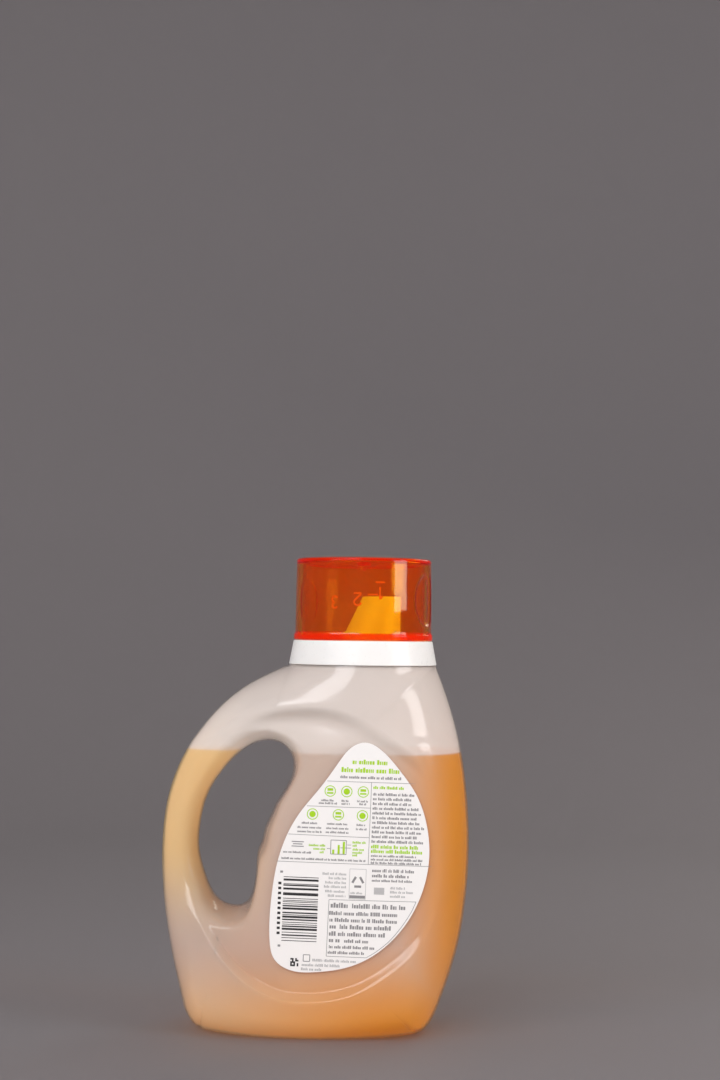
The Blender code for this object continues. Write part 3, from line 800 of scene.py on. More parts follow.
@dataclass
class Detergent:
    """The liquid that fills the shell up to a level."""

    form: BodyForm
    level: float

    def build(self) -> bmesh.types.BMesh:
        """Build the liquid's closed shape, which ends level at the top."""
        mesh = self.form.skin()
        self.form.push_inwards(mesh, self.form.wall + self.form.gap)
        bmesh.ops.bisect_plane(
            mesh, geom=[*mesh.verts, *mesh.edges, *mesh.faces], dist=1e-7,
            plane_co=(0.0, 0.0, self.level), plane_no=(0.0, 0.0, 1.0), clear_outer=True,
        )
        bmesh.ops.holes_fill(mesh, edges=boundary(mesh), sides=0)
        bmesh.ops.triangulate(mesh, faces=[face for face in mesh.faces if len(face.verts) > 4])
        bmesh.ops.recalc_face_normals(mesh, faces=mesh.faces)
        return mesh


class Ink(Enum):
    """Colours of the print on the film."""

    GREEN = "#A6D608"
    GREY = "#8C8A8C"
    PALE_GREY = "#B9B7B8"
    BLACK = "#2B292B"


@dataclass
class Label:
    """The bare film on the label panel, which the print lies on."""

    form: BodyForm
    thickness: float = 0.0002
    outline: tuple = (
        (0.319, 0.796), (0.408, 0.779), (0.535, 0.722), (0.638, 0.660), (0.710, 0.573), (0.725, 0.485),
        (0.689, 0.405), (0.597, 0.322), (0.486, 0.265), (0.361, 0.224), (0.205, 0.196), (0.018, 0.184),
        (-0.139, 0.188), (-0.241, 0.217), (-0.271, 0.267), (-0.265, 0.373), (-0.237, 0.458),
        (-0.177, 0.541), (-0.091, 0.607), (0.033, 0.673), (0.157, 0.747), (0.240, 0.786),
    )
    outline_steps: int = 160
    strip: float = 0.004

    def on_panel(self, mesh: bmesh.types.BMesh, lift: float) -> None:
        """Lay flat points drawn in X and Z onto the panel, standing off it by a lift."""
        for vertex in mesh.verts:
            vertex.co.y = -self.form.panel_at(vertex.co.x, vertex.co.z) - lift

    def build(self) -> bmesh.types.BMesh:
        """Build the film."""
        points = closed_path([self.form.place(share) for share in self.outline], self.outline_steps)
        mesh = bmesh.new()
        mesh.faces.new([mesh.verts.new((x, 0.0, z)) for x, z in points])
        low, high = points.min(axis=0), points.max(axis=0)
        for axis, normal in ((0, (1.0, 0.0, 0.0)), (1, (0.0, 0.0, 1.0))):
            for place in np.arange(low[axis], high[axis], self.strip)[1:]:
                bmesh.ops.bisect_plane(
                    mesh, geom=[*mesh.verts, *mesh.edges, *mesh.faces],
                    plane_co=tuple(place * part for part in normal), plane_no=normal,
                )
        self.on_panel(mesh, self.form.gap)
        film = bmesh.ops.extrude_face_region(mesh, geom=mesh.faces[:])["geom"]
        for vertex in (item for item in film if isinstance(item, bmesh.types.BMVert)):
            vertex.co.y -= self.thickness
        bmesh.ops.recalc_face_normals(mesh, faces=mesh.faces)
        return mesh


def raised_line(
    mesh: bmesh.types.BMesh, axis_x: float, radius: float, path: Sequence[tuple[float, float]],
    half_width: float, rise: float, segments: int = 8,
) -> list[bmesh.types.BMFace]:
    """Add a moulded bead along a path on a round wall, just off it so that no faces share a plane.

    Args:
        mesh: The mesh to add it to.
        axis_x: Where the wall's upright axis stands.
        radius: Radius of the wall that the bead stands on.
        path: Angles about the axis, each with its height.
        half_width: Half the bead's width.
        rise: How far it rises, negative where it points inwards.
        segments: Facets round the bead.

    Returns:
        The bead's faces.
    """
    loops = []
    radius += math.copysign(STAND_OFF, rise)
    for (angle, height), before, after in zip(path, (path[0], *path[:-1]), (*path[1:], path[-1])):
        out = Vector((math.cos(angle), math.sin(angle), 0.0))
        along = Vector((-out.y, out.x, 0.0)) * radius * (after[0] - before[0])
        along.z = after[1] - before[1]
        along.normalize()
        stand = Matrix((along.cross(out) * half_width, out * (rise / 2), along)).transposed().to_4x4()
        stand.translation = Vector((axis_x, 0.0, height)) + out * (radius + rise / 2)
        ring = bmesh.ops.create_circle(mesh, segments=segments, radius=1.0, matrix=stand)["verts"]
        loops.append(list({edge for vertex in ring for edge in vertex.link_edges}))
    made = [
        face for start, end in zip(loops, loops[1:])
        for face in bmesh.ops.bridge_loops(mesh, edges=[*start, *end])["faces"]
    ]
    for loop in (loops[0], loops[-1]):
        made += bmesh.ops.edgeloop_fill(mesh, edges=loop)["faces"]
    bmesh.ops.recalc_face_normals(mesh, faces=made)
    return made


def thread_path(start: float, bottom: float, top: float, steps: int = 120) -> list[tuple[float, float]]:
    """A screw thread's path: angles with heights from its bottom to its top."""
    run = FULL_TURN * THREAD_TURNS
    shares = np.linspace(0.0, 1.0, steps)
    return [(start + run * share, bottom + (top - bottom) * share) for share in shares]


@dataclass
class PourFitment:
    """The white moulding: collar, threaded plug ring, draining floor and slotted spout."""

    form: BodyForm
    collar_height: float = 0.0131
    collar_bottom_radius: float = 0.04035
    collar_top_radius: float = 0.03815
    collar_edge: float = 0.0007
    wall: float = 0.0011
    plug_depth: float = 0.0020
    floor_thickness: float = 0.0014
    floor_fall: float = 0.0020
    spout_top_height: float = 0.0250
    spout_top_radius: float = 0.0107
    spout_foot_radius: float = 0.0203
    spout_reach: float = 0.0203
    spout_wall: float = 0.0013
    spout_slot: float = 0.0070
    thread_below_top: tuple[float, float] = (0.0102, 0.0022)
    round_steps: int = 160

    @property
    def top(self) -> float:
        """Height of the collar's top face."""
        return self.form.shoulder_height + self.collar_height + self.form.gap

    @property
    def plug_inside(self) -> float:
        """Radius inside the plug ring."""
        return self.form.neck_radius - self.form.wall - self.form.gap - self.wall

    def base(self) -> bmesh.types.BMesh:
        """The collar, plug ring and floor as one turned shape."""
        form, edge = self.form, self.collar_edge
        bottom = form.shoulder_height + form.gap
        rim = form.neck_top + form.gap
        plug_outside = self.plug_inside + self.wall
        skirt_inside = form.neck_radius + form.gap
        flare = self.collar_bottom_radius - self.collar_top_radius
        floor = form.shoulder_height - self.plug_depth
        return turned((
            (self.collar_bottom_radius - edge * 0.4, bottom),
            (self.collar_bottom_radius, bottom + edge * 0.5),
            *arc((self.collar_top_radius - edge, self.top - edge), edge, 0, 90),
            *arc((self.plug_inside + edge * 0.5, self.top - edge * 0.5), edge * 0.5, 90, 180, 3),
            *arc((self.plug_inside - edge, floor + self.floor_thickness + edge), edge, 0, -90),
            (0.0, floor + self.floor_thickness - self.floor_fall),
            (0.0, floor - self.floor_fall),
            (plug_outside - edge, floor - edge * 0.1),
            (plug_outside, floor + edge),
            (plug_outside, rim),
            (skirt_inside, rim),
            (skirt_inside + flare, bottom),
        ), form.neck_x, self.round_steps)

    def leaning_cone(
        self, bottom: float, top: float, radii: tuple[float, float], reach: float,
    ) -> bmesh.types.BMesh:
        """A cone whose pouring side stands upright.

        Args:
            bottom: Height of its foot.
            top: Height of its top.
            radii: Radius at the foot and at the top.
            reach: How far the upright side stands from the neck's axis.

        Returns:
            The closed cone.
        """
        mesh = bmesh.new()
        bmesh.ops.create_cone(
            mesh, cap_ends=True, segments=self.round_steps // 2, radius1=radii[0], radius2=radii[1],
            depth=top - bottom,
        )
        for vertex in mesh.verts:
            vertex.co.x += self.form.neck_x + reach - radii[vertex.co.z > 0]
            vertex.co.z += (bottom + top) / 2
        return mesh

    def build(self) -> bmesh.types.BMesh:
        """Build the whole moulding."""
        form = self.form
        foot = form.shoulder_height - self.plug_depth - self.floor_fall
        lip = form.shoulder_height + self.collar_height + self.spout_top_height
        over = 2 * self.floor_thickness
        radii = (self.spout_foot_radius, self.spout_top_radius)
        lean = (radii[0] - radii[1]) / (lip - foot)
        outer = self.leaning_cone(foot, lip, radii, self.spout_reach)
        lip_edges = [edge for edge in outer.edges if all(v.co.z > lip - 1e-6 for v in edge.verts)]
        bmesh.ops.bevel(
            outer, geom=lip_edges, offset=self.spout_wall * 0.3, affect="EDGES", segments=3, profile=0.5,
            material=-1,
        )
        bore = self.leaning_cone(
            foot - over, lip + over,
            (radii[0] - self.spout_wall + lean * over, radii[1] - self.spout_wall - lean * over),
            self.spout_reach - self.spout_wall,
        )
        slot = bmesh.new()
        bmesh.ops.create_cube(slot, size=1.0)
        slot_foot = foot + self.floor_fall + self.floor_thickness
        middle = form.neck_x + self.spout_reach - radii[1]
        far = form.neck_x + self.spout_reach - 2 * radii[0] - over
        bmesh.ops.scale(slot, verts=slot.verts, vec=(middle - far, self.spout_slot, lip + over - slot_foot))
        bmesh.ops.translate(
            slot, verts=slot.verts, vec=((middle + far) / 2, 0.0, (lip + over + slot_foot) / 2),
        )
        mesh = combined(self.base(), ((outer, "UNION"), (bore, "DIFFERENCE"), (slot, "DIFFERENCE")))
        thread = thread_path(0.0, *(self.top - depth for depth in self.thread_below_top))
        raised_line(mesh, form.neck_x, self.plug_inside, thread, THREAD_HALF_WIDTH, -THREAD_RISE)
        return mesh


def combined(
    mesh: bmesh.types.BMesh, others: Iterable[tuple[bmesh.types.BMesh, str]],
) -> bmesh.types.BMesh:
    """Join shapes to a first one, or cut them away, in order.

    Args:
        mesh: The first shape, which is used up.
        others: Shapes with the Boolean operation for each, which are used up.

    Returns:
        The combined shape.
    """
    items = []
    for shape in (mesh, *(other for other, _ in others)):
        data = bpy.data.meshes.new("part of a shape")
        shape.to_mesh(data)
        shape.free()
        item = bpy.data.objects.new("part of a shape", data)
        bpy.context.collection.objects.link(item)
        items.append(item)
    for item, (_, operation) in zip(items[1:], others):
        modifier = items[0].modifiers.new(operation, "BOOLEAN")
        modifier.operation, modifier.solver, modifier.object = operation, "EXACT", item
    bpy.context.view_layer.update()
    depsgraph = bpy.context.evaluated_depsgraph_get()
    made = bmesh.new()
    made.from_object(items[0], depsgraph)
    for item in items:
        data = item.data
        bpy.data.objects.remove(item, do_unlink=True)
        bpy.data.meshes.remove(data)
    return made


@dataclass
class Cap:
    """The see-through cap: outer wall with flange and thumb grips, and the measuring cup inside."""

    form: BodyForm
    seat: float
    cup_outside: float
    height: float = 0.0442
    top_radius: float = 0.0369
    wall: float = 0.0013
    top_wall: float = 0.0015
    top_edge: float = 0.0015
    spread: float = 0.0004
    flange_radius: float = 0.0379
    flange_height: float = 0.0032
    flange_lip: float = 0.18
    flange_clearance: float = 0.0010
    cup_wall: float = 0.0013
    cup_reach: float = 0.0118
    thumb_depth: float = 0.0013
    thumb_height: float = 0.0310
    thumb_half_angle: float = math.radians(20)
    thumb_direction: float = math.radians(-22)
    thumb_centre: float = 0.0220
    thumb_edge: float = 0.22
    gate: tuple = ((0.0040, 0.0), (0.0036, 0.0008), (0.0019, 0.0012), (0.0015, 0.0034), (0.0006, 0.0040))
    numeral_half_width_mm: float = 2.0
    numeral_height_mm: float = 6.4
    bead_half_width: float = 0.00050
    bead_rise: float = 0.00060
    thread_start: float = 0.5
    thread_margin: float = 0.0016
    round_steps: int = 288
    rings: int = 72

    @property
    def top(self) -> float:
        """Height of the cap's closed top."""
        return self.seat + self.height

    def markings(self) -> Iterable[list[tuple[float, float]]]:
        """The cup's raised numerals and level lines, upside down until the cap is turned over to measure.

        Yields:
            Angles about the axis with heights, for each bead.
        """
        strokes = {
            (-15.7, 17.0): [arc((1.9, 4.8), 1.5, 150, -80, 10), arc((1.9, 1.7), 1.7, 80, -150, 12)],
            (-3.2, 18.6): [
                [*arc((2.0, 4.6), 1.8, 170, -30, 10), (0.3, 0.6)], [(0.0, 0.0), (4.0, 0.0)],
                [(-3.4, 0.6), (-8.6, 0.6)],
            ],
            (8.8, 22.0): [[(0.9, 4.9), (2.2, 6.4)], [(2.2, 6.4), (2.2, 0.0)], [(-0.2, -2.6), (4.6, -2.6)]],
        }
        for (across, above), lines in strokes.items():
            right, top = across + self.numeral_half_width_mm, above + self.numeral_height_mm
            for line in lines:
                yield [
                    (
                        -math.pi / 2 + (right - u) * MILLIMETRE / self.cup_outside,
                        self.seat + (top - v) * MILLIMETRE,
                    )
                    for u, v in line
                ]

    def thumb_dent(self, x: float, y: float, height: float) -> float:
        """How deep the thumb grips are at a point of the outer wall, as a share."""
        direction, share = math.atan2(y, x), 0.0
        for facing in (self.thumb_direction, self.thumb_direction + math.pi):
            turn = (direction - facing + math.pi) % FULL_TURN - math.pi
            rise = (height - self.thumb_centre) / (self.thumb_height / 2)
            share = max(share, 1.0 - min(math.hypot(turn / self.thumb_half_angle, rise), 1.0))
        return ease(min(share / self.thumb_edge, 1.0))

    def build(self) -> bmesh.types.BMesh:
        """Build the cap on its seat."""
        foot_radius = self.top_radius + self.spread
        flange_top = self.seat + self.flange_height
        heights = np.linspace(flange_top + self.flange_clearance, self.top - self.top_edge, self.rings)
        shares = (heights - heights[0]) / (heights[-1] - heights[0])
        outer = [(foot_radius - self.spread * share, height) for share, height in zip(shares, heights)]
        inside_top = self.top - self.top_wall
        inner = [(radius - self.wall, min(height, inside_top - self.top_edge)) for radius, height in outer]
        lip = self.flange_height * self.flange_lip
        cup_inside = self.cup_outside - self.cup_wall
        mouth = self.seat - self.cup_reach
        mesh = turned((
            (0.0, self.top),
            *arc((self.top_radius - self.top_edge, self.top - self.top_edge), self.top_edge, 90, 0, 6)[:-1],
            *outer[::-1],
            *arc((self.flange_radius - lip, flange_top - lip), lip, 60, 0, 3),
            *arc((self.flange_radius - lip, self.seat + lip), lip, 0, -80, 3),
            (foot_radius - self.wall, self.seat),
            *inner,
            (self.cup_outside, inner[-1][1]),
            (self.cup_outside, mouth + self.cup_wall * 0.5),
            (self.cup_outside - self.cup_wall * 0.3, mouth),
            (cup_inside + self.cup_wall * 0.3, mouth),
            (cup_inside, mouth + self.cup_wall * 0.5),
            *arc((cup_inside - self.top_edge, inside_top - self.top_edge), self.top_edge, 0, 90, 5),
            *((radius, inside_top - depth) for radius, depth in self.gate),
            (0.0, inside_top - self.gate[-1][1]),
        ), self.form.neck_x, self.round_steps)
        limit = foot_radius - self.wall - self.spread - self.form.gap
        for vertex in mesh.verts:
            x, y = vertex.co.x - self.form.neck_x, vertex.co.y
            radius = math.hypot(x, y)
            if radius > limit and flange_top < vertex.co.z < self.top - self.top_edge:
                shrink = 1.0 - self.thumb_depth * self.thumb_dent(x, y, vertex.co.z - self.seat) / radius
                vertex.co.x, vertex.co.y = self.form.neck_x + x * shrink, y * shrink
        cup = (mesh, self.form.neck_x, self.cup_outside)
        for path in self.markings():
            for face in raised_line(*cup, path, self.bead_half_width, self.bead_rise):
                face.material_index = 1
        thread = thread_path(self.thread_start, mouth + self.thread_margin, self.seat - self.thread_margin)
        raised_line(*cup, thread, THREAD_HALF_WIDTH, THREAD_RISE)
        return mesh


@dataclass(frozen=True)
class TextLine:
    """A run of letter-sized blocks, in millimetres right of and below the print's own corner."""

    ink: Ink
    start: float
    end: float
    down: float
    height: float = 1.2


@dataclass
class Print:
    """Everything printed on the film: rules, round signs, and blocks in place of words and codes.

    Places are in millimetres across and down from where the upright rule meets the first level one.
    """

    label: Label
    corner: tuple[float, float] = (0.0299, 0.1356)
    tilt: float = math.radians(-1.3)
    ink_thickness: float = 0.00003
    stretch: float = 4.0
    rule_width: float = 0.25
    round_steps: int = 28
    disc_radius: float = 3.0
    letter_share: float = 0.56
    letter_widths: tuple[float, float, float] = (0.45, 0.72, 0.78)
    letter_gap: float = 0.24
    low_letter: float = 0.72
    tall_share: float = 0.35
    word_letters: tuple[int, int] = (2, 8)
    word_gap: float = 0.75
    bar_length: float = 18.4
    bar_widths: tuple[float, ...] = (0.35, 0.35, 0.7, 1.05)
    bar_gaps: tuple[float, ...] = (0.4, 0.7, 0.7, 1.1)
    upper_discs: tuple = ((-21.6, 5.3), (-12.9, 5.3), (-4.2, 5.2), (-30.5, 17.7), (-16.9, 17.6), (-4.2, 17.7))
    random: Random = field(default_factory=lambda: Random(46))
    marks: dict[Ink, bmesh.types.BMesh] = field(default_factory=dict)

    def matrix(
        self, across: float, down: float, turn: float = 0.0, size: tuple[float, float] = (1.0, 1.0),
    ) -> Matrix:
        """Where a flat shape drawn about its own middle goes, turned and stretched.

        Args:
            across: Middle of the shape, right of the corner.
            down: Middle of the shape, below the corner.
            turn: Turn in radians, on top of the print's own tilt.
            size: Width and height.

        Returns:
            The transform to the label side, facing -Y.
        """
        right = Vector((math.cos(self.tilt), 0.0, math.sin(self.tilt)))
        lower = Vector((right.z, 0.0, -right.x))
        middle = Vector((self.corner[0], 0.0, self.corner[1])) + (right * across + lower * down) * MILLIMETRE
        stand = Matrix.Rotation(math.pi / 2, 4, "X")
        turned_by = Matrix.Rotation(-(self.tilt + turn), 4, "Y")
        scale = Matrix.Diagonal((size[0] * MILLIMETRE, size[1] * MILLIMETRE, MILLIMETRE, 1.0))
        return Matrix.Translation(middle) @ turned_by @ stand @ scale

    def sheet(self, ink: Ink) -> bmesh.types.BMesh:
        """The flat shapes drawn so far in one ink."""
        return self.marks.setdefault(ink, bmesh.new())

    def block(
        self, ink: Ink, across: float, down: float, width: float, height: float, turn: float = 0.0,
    ) -> None:
        """Draw a filled rectangle about its middle."""
        segments = max(1, round(width / self.stretch))
        bmesh.ops.create_grid(
            self.sheet(ink), x_segments=segments, y_segments=1, size=0.5,
            matrix=self.matrix(across, down, turn, (width, height)),
        )

    def stroke(self, ink: Ink, start: tuple[float, float], end: tuple[float, float], width: float) -> None:
        """Draw a straight stroke between two places."""
        run, drop = end[0] - start[0], end[1] - start[1]
        self.block(
            ink, (start[0] + end[0]) / 2, (start[1] + end[1]) / 2, math.hypot(run, drop), width,
            -math.atan2(drop, run),
        )

    def outline(self, ink: Ink, places: Sequence[tuple[float, float]], width: float) -> None:
        """Draw strokes from place to place and back to the first."""
        for start, end in zip(places, [*places[1:], places[0]]):
            self.stroke(ink, start, end, width)

    def disc(self, ink: Ink, across: float, down: float, radius: float) -> None:
        """Draw a filled disc."""
        bmesh.ops.create_circle(
            self.sheet(ink), cap_ends=True, segments=self.round_steps, radius=radius,
            matrix=self.matrix(across, down),
        )

    def ring(self, ink: Ink, across: float, down: float, radius: float, width: float) -> None:
        """Draw a ring."""
        turns = np.linspace(0.0, FULL_TURN, self.round_steps, endpoint=False)
        places = [(across + radius * math.cos(turn), down + radius * math.sin(turn)) for turn in turns]
        self.outline(ink, places, width)

    def words(self, line: TextLine) -> None:
        """Draw a line of blocks the size of letters, with gaps like those between words."""
        letter, at = line.height * self.letter_share, line.start
        while at < line.end - letter:
            for _ in range(self.random.randint(*self.word_letters)):
                tall = self.random.random() < self.tall_share
                height = line.height * (1.0 if tall else self.low_letter)
                width = letter * self.random.choice(self.letter_widths)
                self.block(line.ink, at + width / 2, line.down + (line.height - height) / 2, width, height)
                at += width + letter * self.letter_gap
                if at > line.end - letter:
                    break
            at += letter * self.word_gap

    def headings(self) -> None:
        """The two green lines and the grey one at the top of the film."""
        for line in (
            TextLine(Ink.GREEN, -10.4, 9.4, -10.5, 2.5),
            TextLine(Ink.GREEN, -16.1, 15.2, -6.2, 2.6),
            TextLine(Ink.GREY, -16.6, 15.9, -2.4, 1.5),
        ):
            self.words(line)

    def rules(self) -> None:
        """The thin rules between the fields."""
        for start, end in (
            ((-23.4, 0.1), (23.4, 0.0)), ((-33.6, 13.5), (-0.2, 13.5)), ((-42.8, 28.6), (-0.2, 29.0)),
            ((-48.7, 43.0), (33.1, 43.0)), ((0.0, 0.0), (-0.3, 43.0)),
        ):
            self.stroke(Ink.GREY, start, end, self.rule_width)

    def round_signs(self) -> None:
        """Six green rings with a simple shape in each, and the short lines under them."""
        for at, (across, down) in enumerate(self.upper_discs):
            self.ring(Ink.GREEN, across, down, self.disc_radius - 0.25, 0.45)
            if at % 2:
                self.disc(Ink.GREEN, across, down, self.disc_radius * 0.55)
            else:
                self.block(Ink.GREEN, across, down - 0.8, 3.0, 1.3)
                self.block(Ink.GREEN, across, down + 1.0, 3.4, 0.9)
        for start, end, down in (
            (-26.1, -18.5, 10.2), (-27.4, -17.0, 11.7), (-15.5, -10.8, 10.2), (-15.5, -10.5, 11.7),
            (-7.3, -1.4, 10.1), (-6.1, -2.3, 11.6), (-36.0, -27.2, 22.4), (-38.2, -25.0, 24.7),
            (-38.1, -24.7, 26.9), (-22.7, -11.6, 22.4), (-23.1, -10.9, 24.7), (-23.2, -10.7, 26.8),
            (-7.1, -2.1, 22.5), (-7.4, -1.2, 24.7),
        ):
            self.words(TextLine(Ink.GREY, start, end, down, 1.1))

    def dosing_field(self) -> None:
        """A small chart with its notes, and a grey sign beside it."""
        self.block(Ink.GREY, -37.7, 33.6, 5.0, 0.5)
        self.block(Ink.GREY, -37.7, 34.8, 6.4, 0.5)
        self.block(Ink.GREY, -37.7, 32.4, 6.4, 0.5)
        self.words(TextLine(Ink.GREY, -45.2, -30.2, 37.9, 1.1))
        self.words(TextLine(Ink.GREY, -46.0, -1.2, 41.2, 1.1))
        for start, end, down in (
            (-31.8, -22.9, 33.9), (-29.4, -22.9, 35.7), (-26.0, -23.4, 37.4), (-8.9, -1.2, 31.7),
            (-8.8, -5.4, 33.4), (-8.8, -1.6, 35.4), (-8.8, -2.7, 37.0), (-8.8, -6.0, 38.4),
        ):
            self.words(TextLine(Ink.GREEN, start, end, down, 1.2))
        self.outline(Ink.GREY, ((-20.3, 30.9), (-12.1, 30.9), (-12.1, 38.2), (-20.3, 38.2)), 0.35)
        for across, height in ((-18.9, 2.1), (-16.1, 4.6), (-13.4, 6.4)):
            self.block(Ink.GREEN, across, 38.0 - height / 2, 1.1, height)
        for start, end, down in ((-22.3, -20.6, 35.4), (-11.6, -9.6, 33.2), (-15.2, -9.6, 34.8)):
            self.stroke(Ink.GREY, (start, down), (end, down), 0.3)

    def right_column(self) -> None:
        """The dense column right of the upright rule."""
        self.words(TextLine(Ink.GREEN, 1.0, 17.7, 2.6, 1.6))
        ends = (23.2, 22.1, 22.2, 25.6, 27.4, 25.1, 27.3, 29.2, 27.8, 25.6, 29.0)
        for row, end in enumerate(ends):
            self.words(TextLine(Ink.GREY, 1.0, end, 6.1 + 2.47 * row, 1.45))
        for end, down in ((27.4, 33.5), (29.0, 35.9)):
            self.words(TextLine(Ink.GREEN, 0.9, end, down, 1.9))
        for end, down in ((25.0, 38.3), (28.6, 40.2), (27.6, 42.0)):
            self.words(TextLine(Ink.GREY, 1.0, end, down, 1.2))

    def bar_code(self) -> None:
        """Upright stack of level bars of random widths, which encodes nothing, with ticks beside it."""
        at, last = 51.0, 84.5
        while at < last:
            width = self.random.choice(self.bar_widths)
            self.block(Ink.BLACK, -35.2, at, self.bar_length, width)
            at += width + self.random.choice(self.bar_gaps)
        for row in range(11):
            self.block(Ink.BLACK, -46.3, 54.4 + 2.6 * row, 1.6, 1.3)
        for down in (48.4, 87.0):
            self.block(Ink.GREY, -45.6, down, 1.4, 1.1)

    def lower_fields(self) -> None:
        """The fields under the last level rule, beside the bars."""
        for start, down in (
            (-24.1, 48.5), (-20.8, 50.7), (-22.5, 53.0), (-23.1, 55.2), (-22.4, 57.6), (-20.9, 59.9),
        ):
            self.words(TextLine(Ink.PALE_GREY, start, -11.2, down, 1.3))
        self.outline(Ink.PALE_GREY, ((-9.8, 45.6), (-1.2, 45.6), (-1.2, 61.2), (-9.8, 61.2)), 0.25)
        for side in range(3):
            turn = FULL_TURN * side / 3
            across, down = -5.4 + 2.3 * math.sin(turn), 52.4 + 2.3 * math.cos(turn)
            self.block(Ink.GREY, across, down, 3.6, 1.2, turn)
        self.words(TextLine(Ink.PALE_GREY, -9.2, -1.8, 58.1, 1.1))
        self.block(Ink.GREY, -5.5, 60.1, 8.2, 1.5)
        for end, down, height in ((25.6, 46.0, 1.7), (21.6, 48.7, 1.7), (23.8, 51.2, 1.3)):
            self.words(TextLine(Ink.GREY, 1.9, end, down, height))
        self.block(Ink.PALE_GREY, 5.9, 56.7, 5.4, 3.6)
        for end, down in ((19.9, 54.9), (24.4, 57.0), (20.3, 59.2)):
            self.words(TextLine(Ink.PALE_GREY, 11.7, end, down, 1.3))
        self.outline(Ink.GREY, (
            (-20.2, 62.0), (25.5, 61.7), (23.6, 66.3), (21.1, 70.7), (18.2, 75.2), (14.9, 79.5), (11.7, 83.1),
            (8.1, 86.3), (4.4, 89.1), (0.3, 91.6), (-20.6, 91.5),
        ), self.rule_width)
        for start, end, down, height in (
            (-19.2, -9.2, 64.8, 2.6), (-8.0, 21.4, 64.9, 2.4), (-19.9, 16.9, 68.9, 2.0),
            (-19.6, 16.9, 72.4, 2.0), (-19.4, -15.7, 75.9, 2.2), (-14.1, 14.9, 75.9, 2.3),
            (-19.6, 11.0, 79.6, 2.3), (-19.5, -12.7, 83.0, 2.2), (-11.5, 2.1, 83.2, 1.8),
            (-19.4, 5.4, 86.5, 1.6), (-19.9, 0.2, 89.4, 1.5),
        ):
            self.words(TextLine(Ink.GREY, start, end, down, height))

    def foot_line(self) -> None:
        """The small dark square, the small sign and the pale lines at the bottom."""
        for row in range(5):
            for column in range(5):
                if self.random.random() < 0.6:
                    self.block(Ink.BLACK, -38.9 + 0.85 * column, 93.6 + 0.85 * row, 0.85, 0.85)
        self.outline(Ink.GREY, ((-32.6, 91.2), (-29.2, 91.2), (-29.2, 94.6), (-32.6, 94.6)), 0.4)
        for start, end, down in ((-27.8, -4.9, 93.8), (-33.3, -12.8, 96.4), (-33.6, -22.1, 98.6)):
            self.words(TextLine(Ink.PALE_GREY, start, end, down, 1.4))

    def build(self) -> dict[Ink, bmesh.types.BMesh]:
        """Draw everything, lay it on the film and give it the ink's thickness."""
        self.headings()
        self.rules()
        self.round_signs()
        self.dosing_field()
        self.right_column()
        self.bar_code()
        self.lower_fields()
        self.foot_line()
        for mesh in self.marks.values():
            self.label.on_panel(mesh, self.label.form.gap + self.label.thickness + STAND_OFF)
            raised = bmesh.ops.extrude_face_region(mesh, geom=mesh.faces[:])["geom"]
            for vertex in (item for item in raised if isinstance(item, bmesh.types.BMVert)):
                vertex.co.y -= self.ink_thickness
            bmesh.ops.recalc_face_normals(mesh, faces=mesh.faces)
        return self.marks


@dataclass(frozen=True)
class MilkyPolyethylene:
    """Natural high-density polyethylene, blown: milky, satin, and lit through by what it holds."""

    level: float
    colour: str = "#F4EEED"
    # The next two colours are painted glow, laid on the haze below the liquid's level: light through the thin
    # handle and from behind.
    handle: str = "#FDE6B0"
    painted_glow: str = "#F9AF08"
    cloudy: float = 0.24
    glow: str = "#FBF3EA"
    glowing: float = 0.24
    frost: str = "#F6F2F2"
    frosted: float = 0.62
    wetted: float = 0.04
    clear: str = "#FFFDF9"
    lamp_colour: str = "#FBF9F6"
    roughness: float = 0.13
    index: float = 1.54
    peel_size_mm: float = 2.5
    line: float = 0.0006

    def outer(self) -> bpy.types.Material:
        """The outer skin, which holds the gloss and a thin haze; below the liquid's level the haze carries
        painted glow.
        """
        recipe = Recipe("blown_natural_polyethylene")
        peel = recipe.bumped(recipe.noise(1 / (self.peel_size_mm * MILLIMETRE), 2.0), 0.10, 0.0002)
        waves = recipe.bumped(recipe.noise(45.0), 0.22, 0.0012, peel)
        ends = (self.level + self.line, self.level - self.line)
        filled = recipe.mapped(recipe.axes()["Z"], ends)
        # Haze colour with painted glow in the handle, near the base and on the pouring side, below the
        # liquid's level.
        cloud_with_painted_glow = recipe.amber_with_painted_glow((self.colour, self.handle, self.painted_glow), filled)
        haze = recipe.shader("Diffuse", links={"Color": cloud_with_painted_glow, "Normal": waves})
        glow = recipe.shader("Translucent", {"Color": self.glow}, {"Normal": waves})
        thin = recipe.blended(self.glowing, recipe.shader("Transparent", {"Color": self.clear}), glow)
        shine = recipe.shader("Glossy", {"Roughness": self.roughness}, {"Normal": waves})
        mirror = recipe.node("Fresnel", {"IOR": self.index}, {"Normal": waves})
        skin = recipe.blended(mirror.outputs["Fac"], recipe.blended(self.cloudy, thin, haze), shine)
        return recipe.finish(recipe.lit_through(skin, self.lamp_colour))

    def inner(self) -> bpy.types.Material:
        """The inner skin: frosted where air lies against it, nearly clear where the liquid wets it."""
        recipe = Recipe("inside_of_blown_wall")
        ends = (self.level - self.line, self.level + self.line)
        dry = recipe.mapped(recipe.axes()["Z"], ends, (self.wetted, self.frosted))
        frost = recipe.shader("Diffuse", {"Color": self.frost})
        wall = recipe.blended(dry, recipe.shader("Transparent", {"Color": self.clear}), frost)
        return recipe.finish(recipe.lit_through(wall, self.lamp_colour))


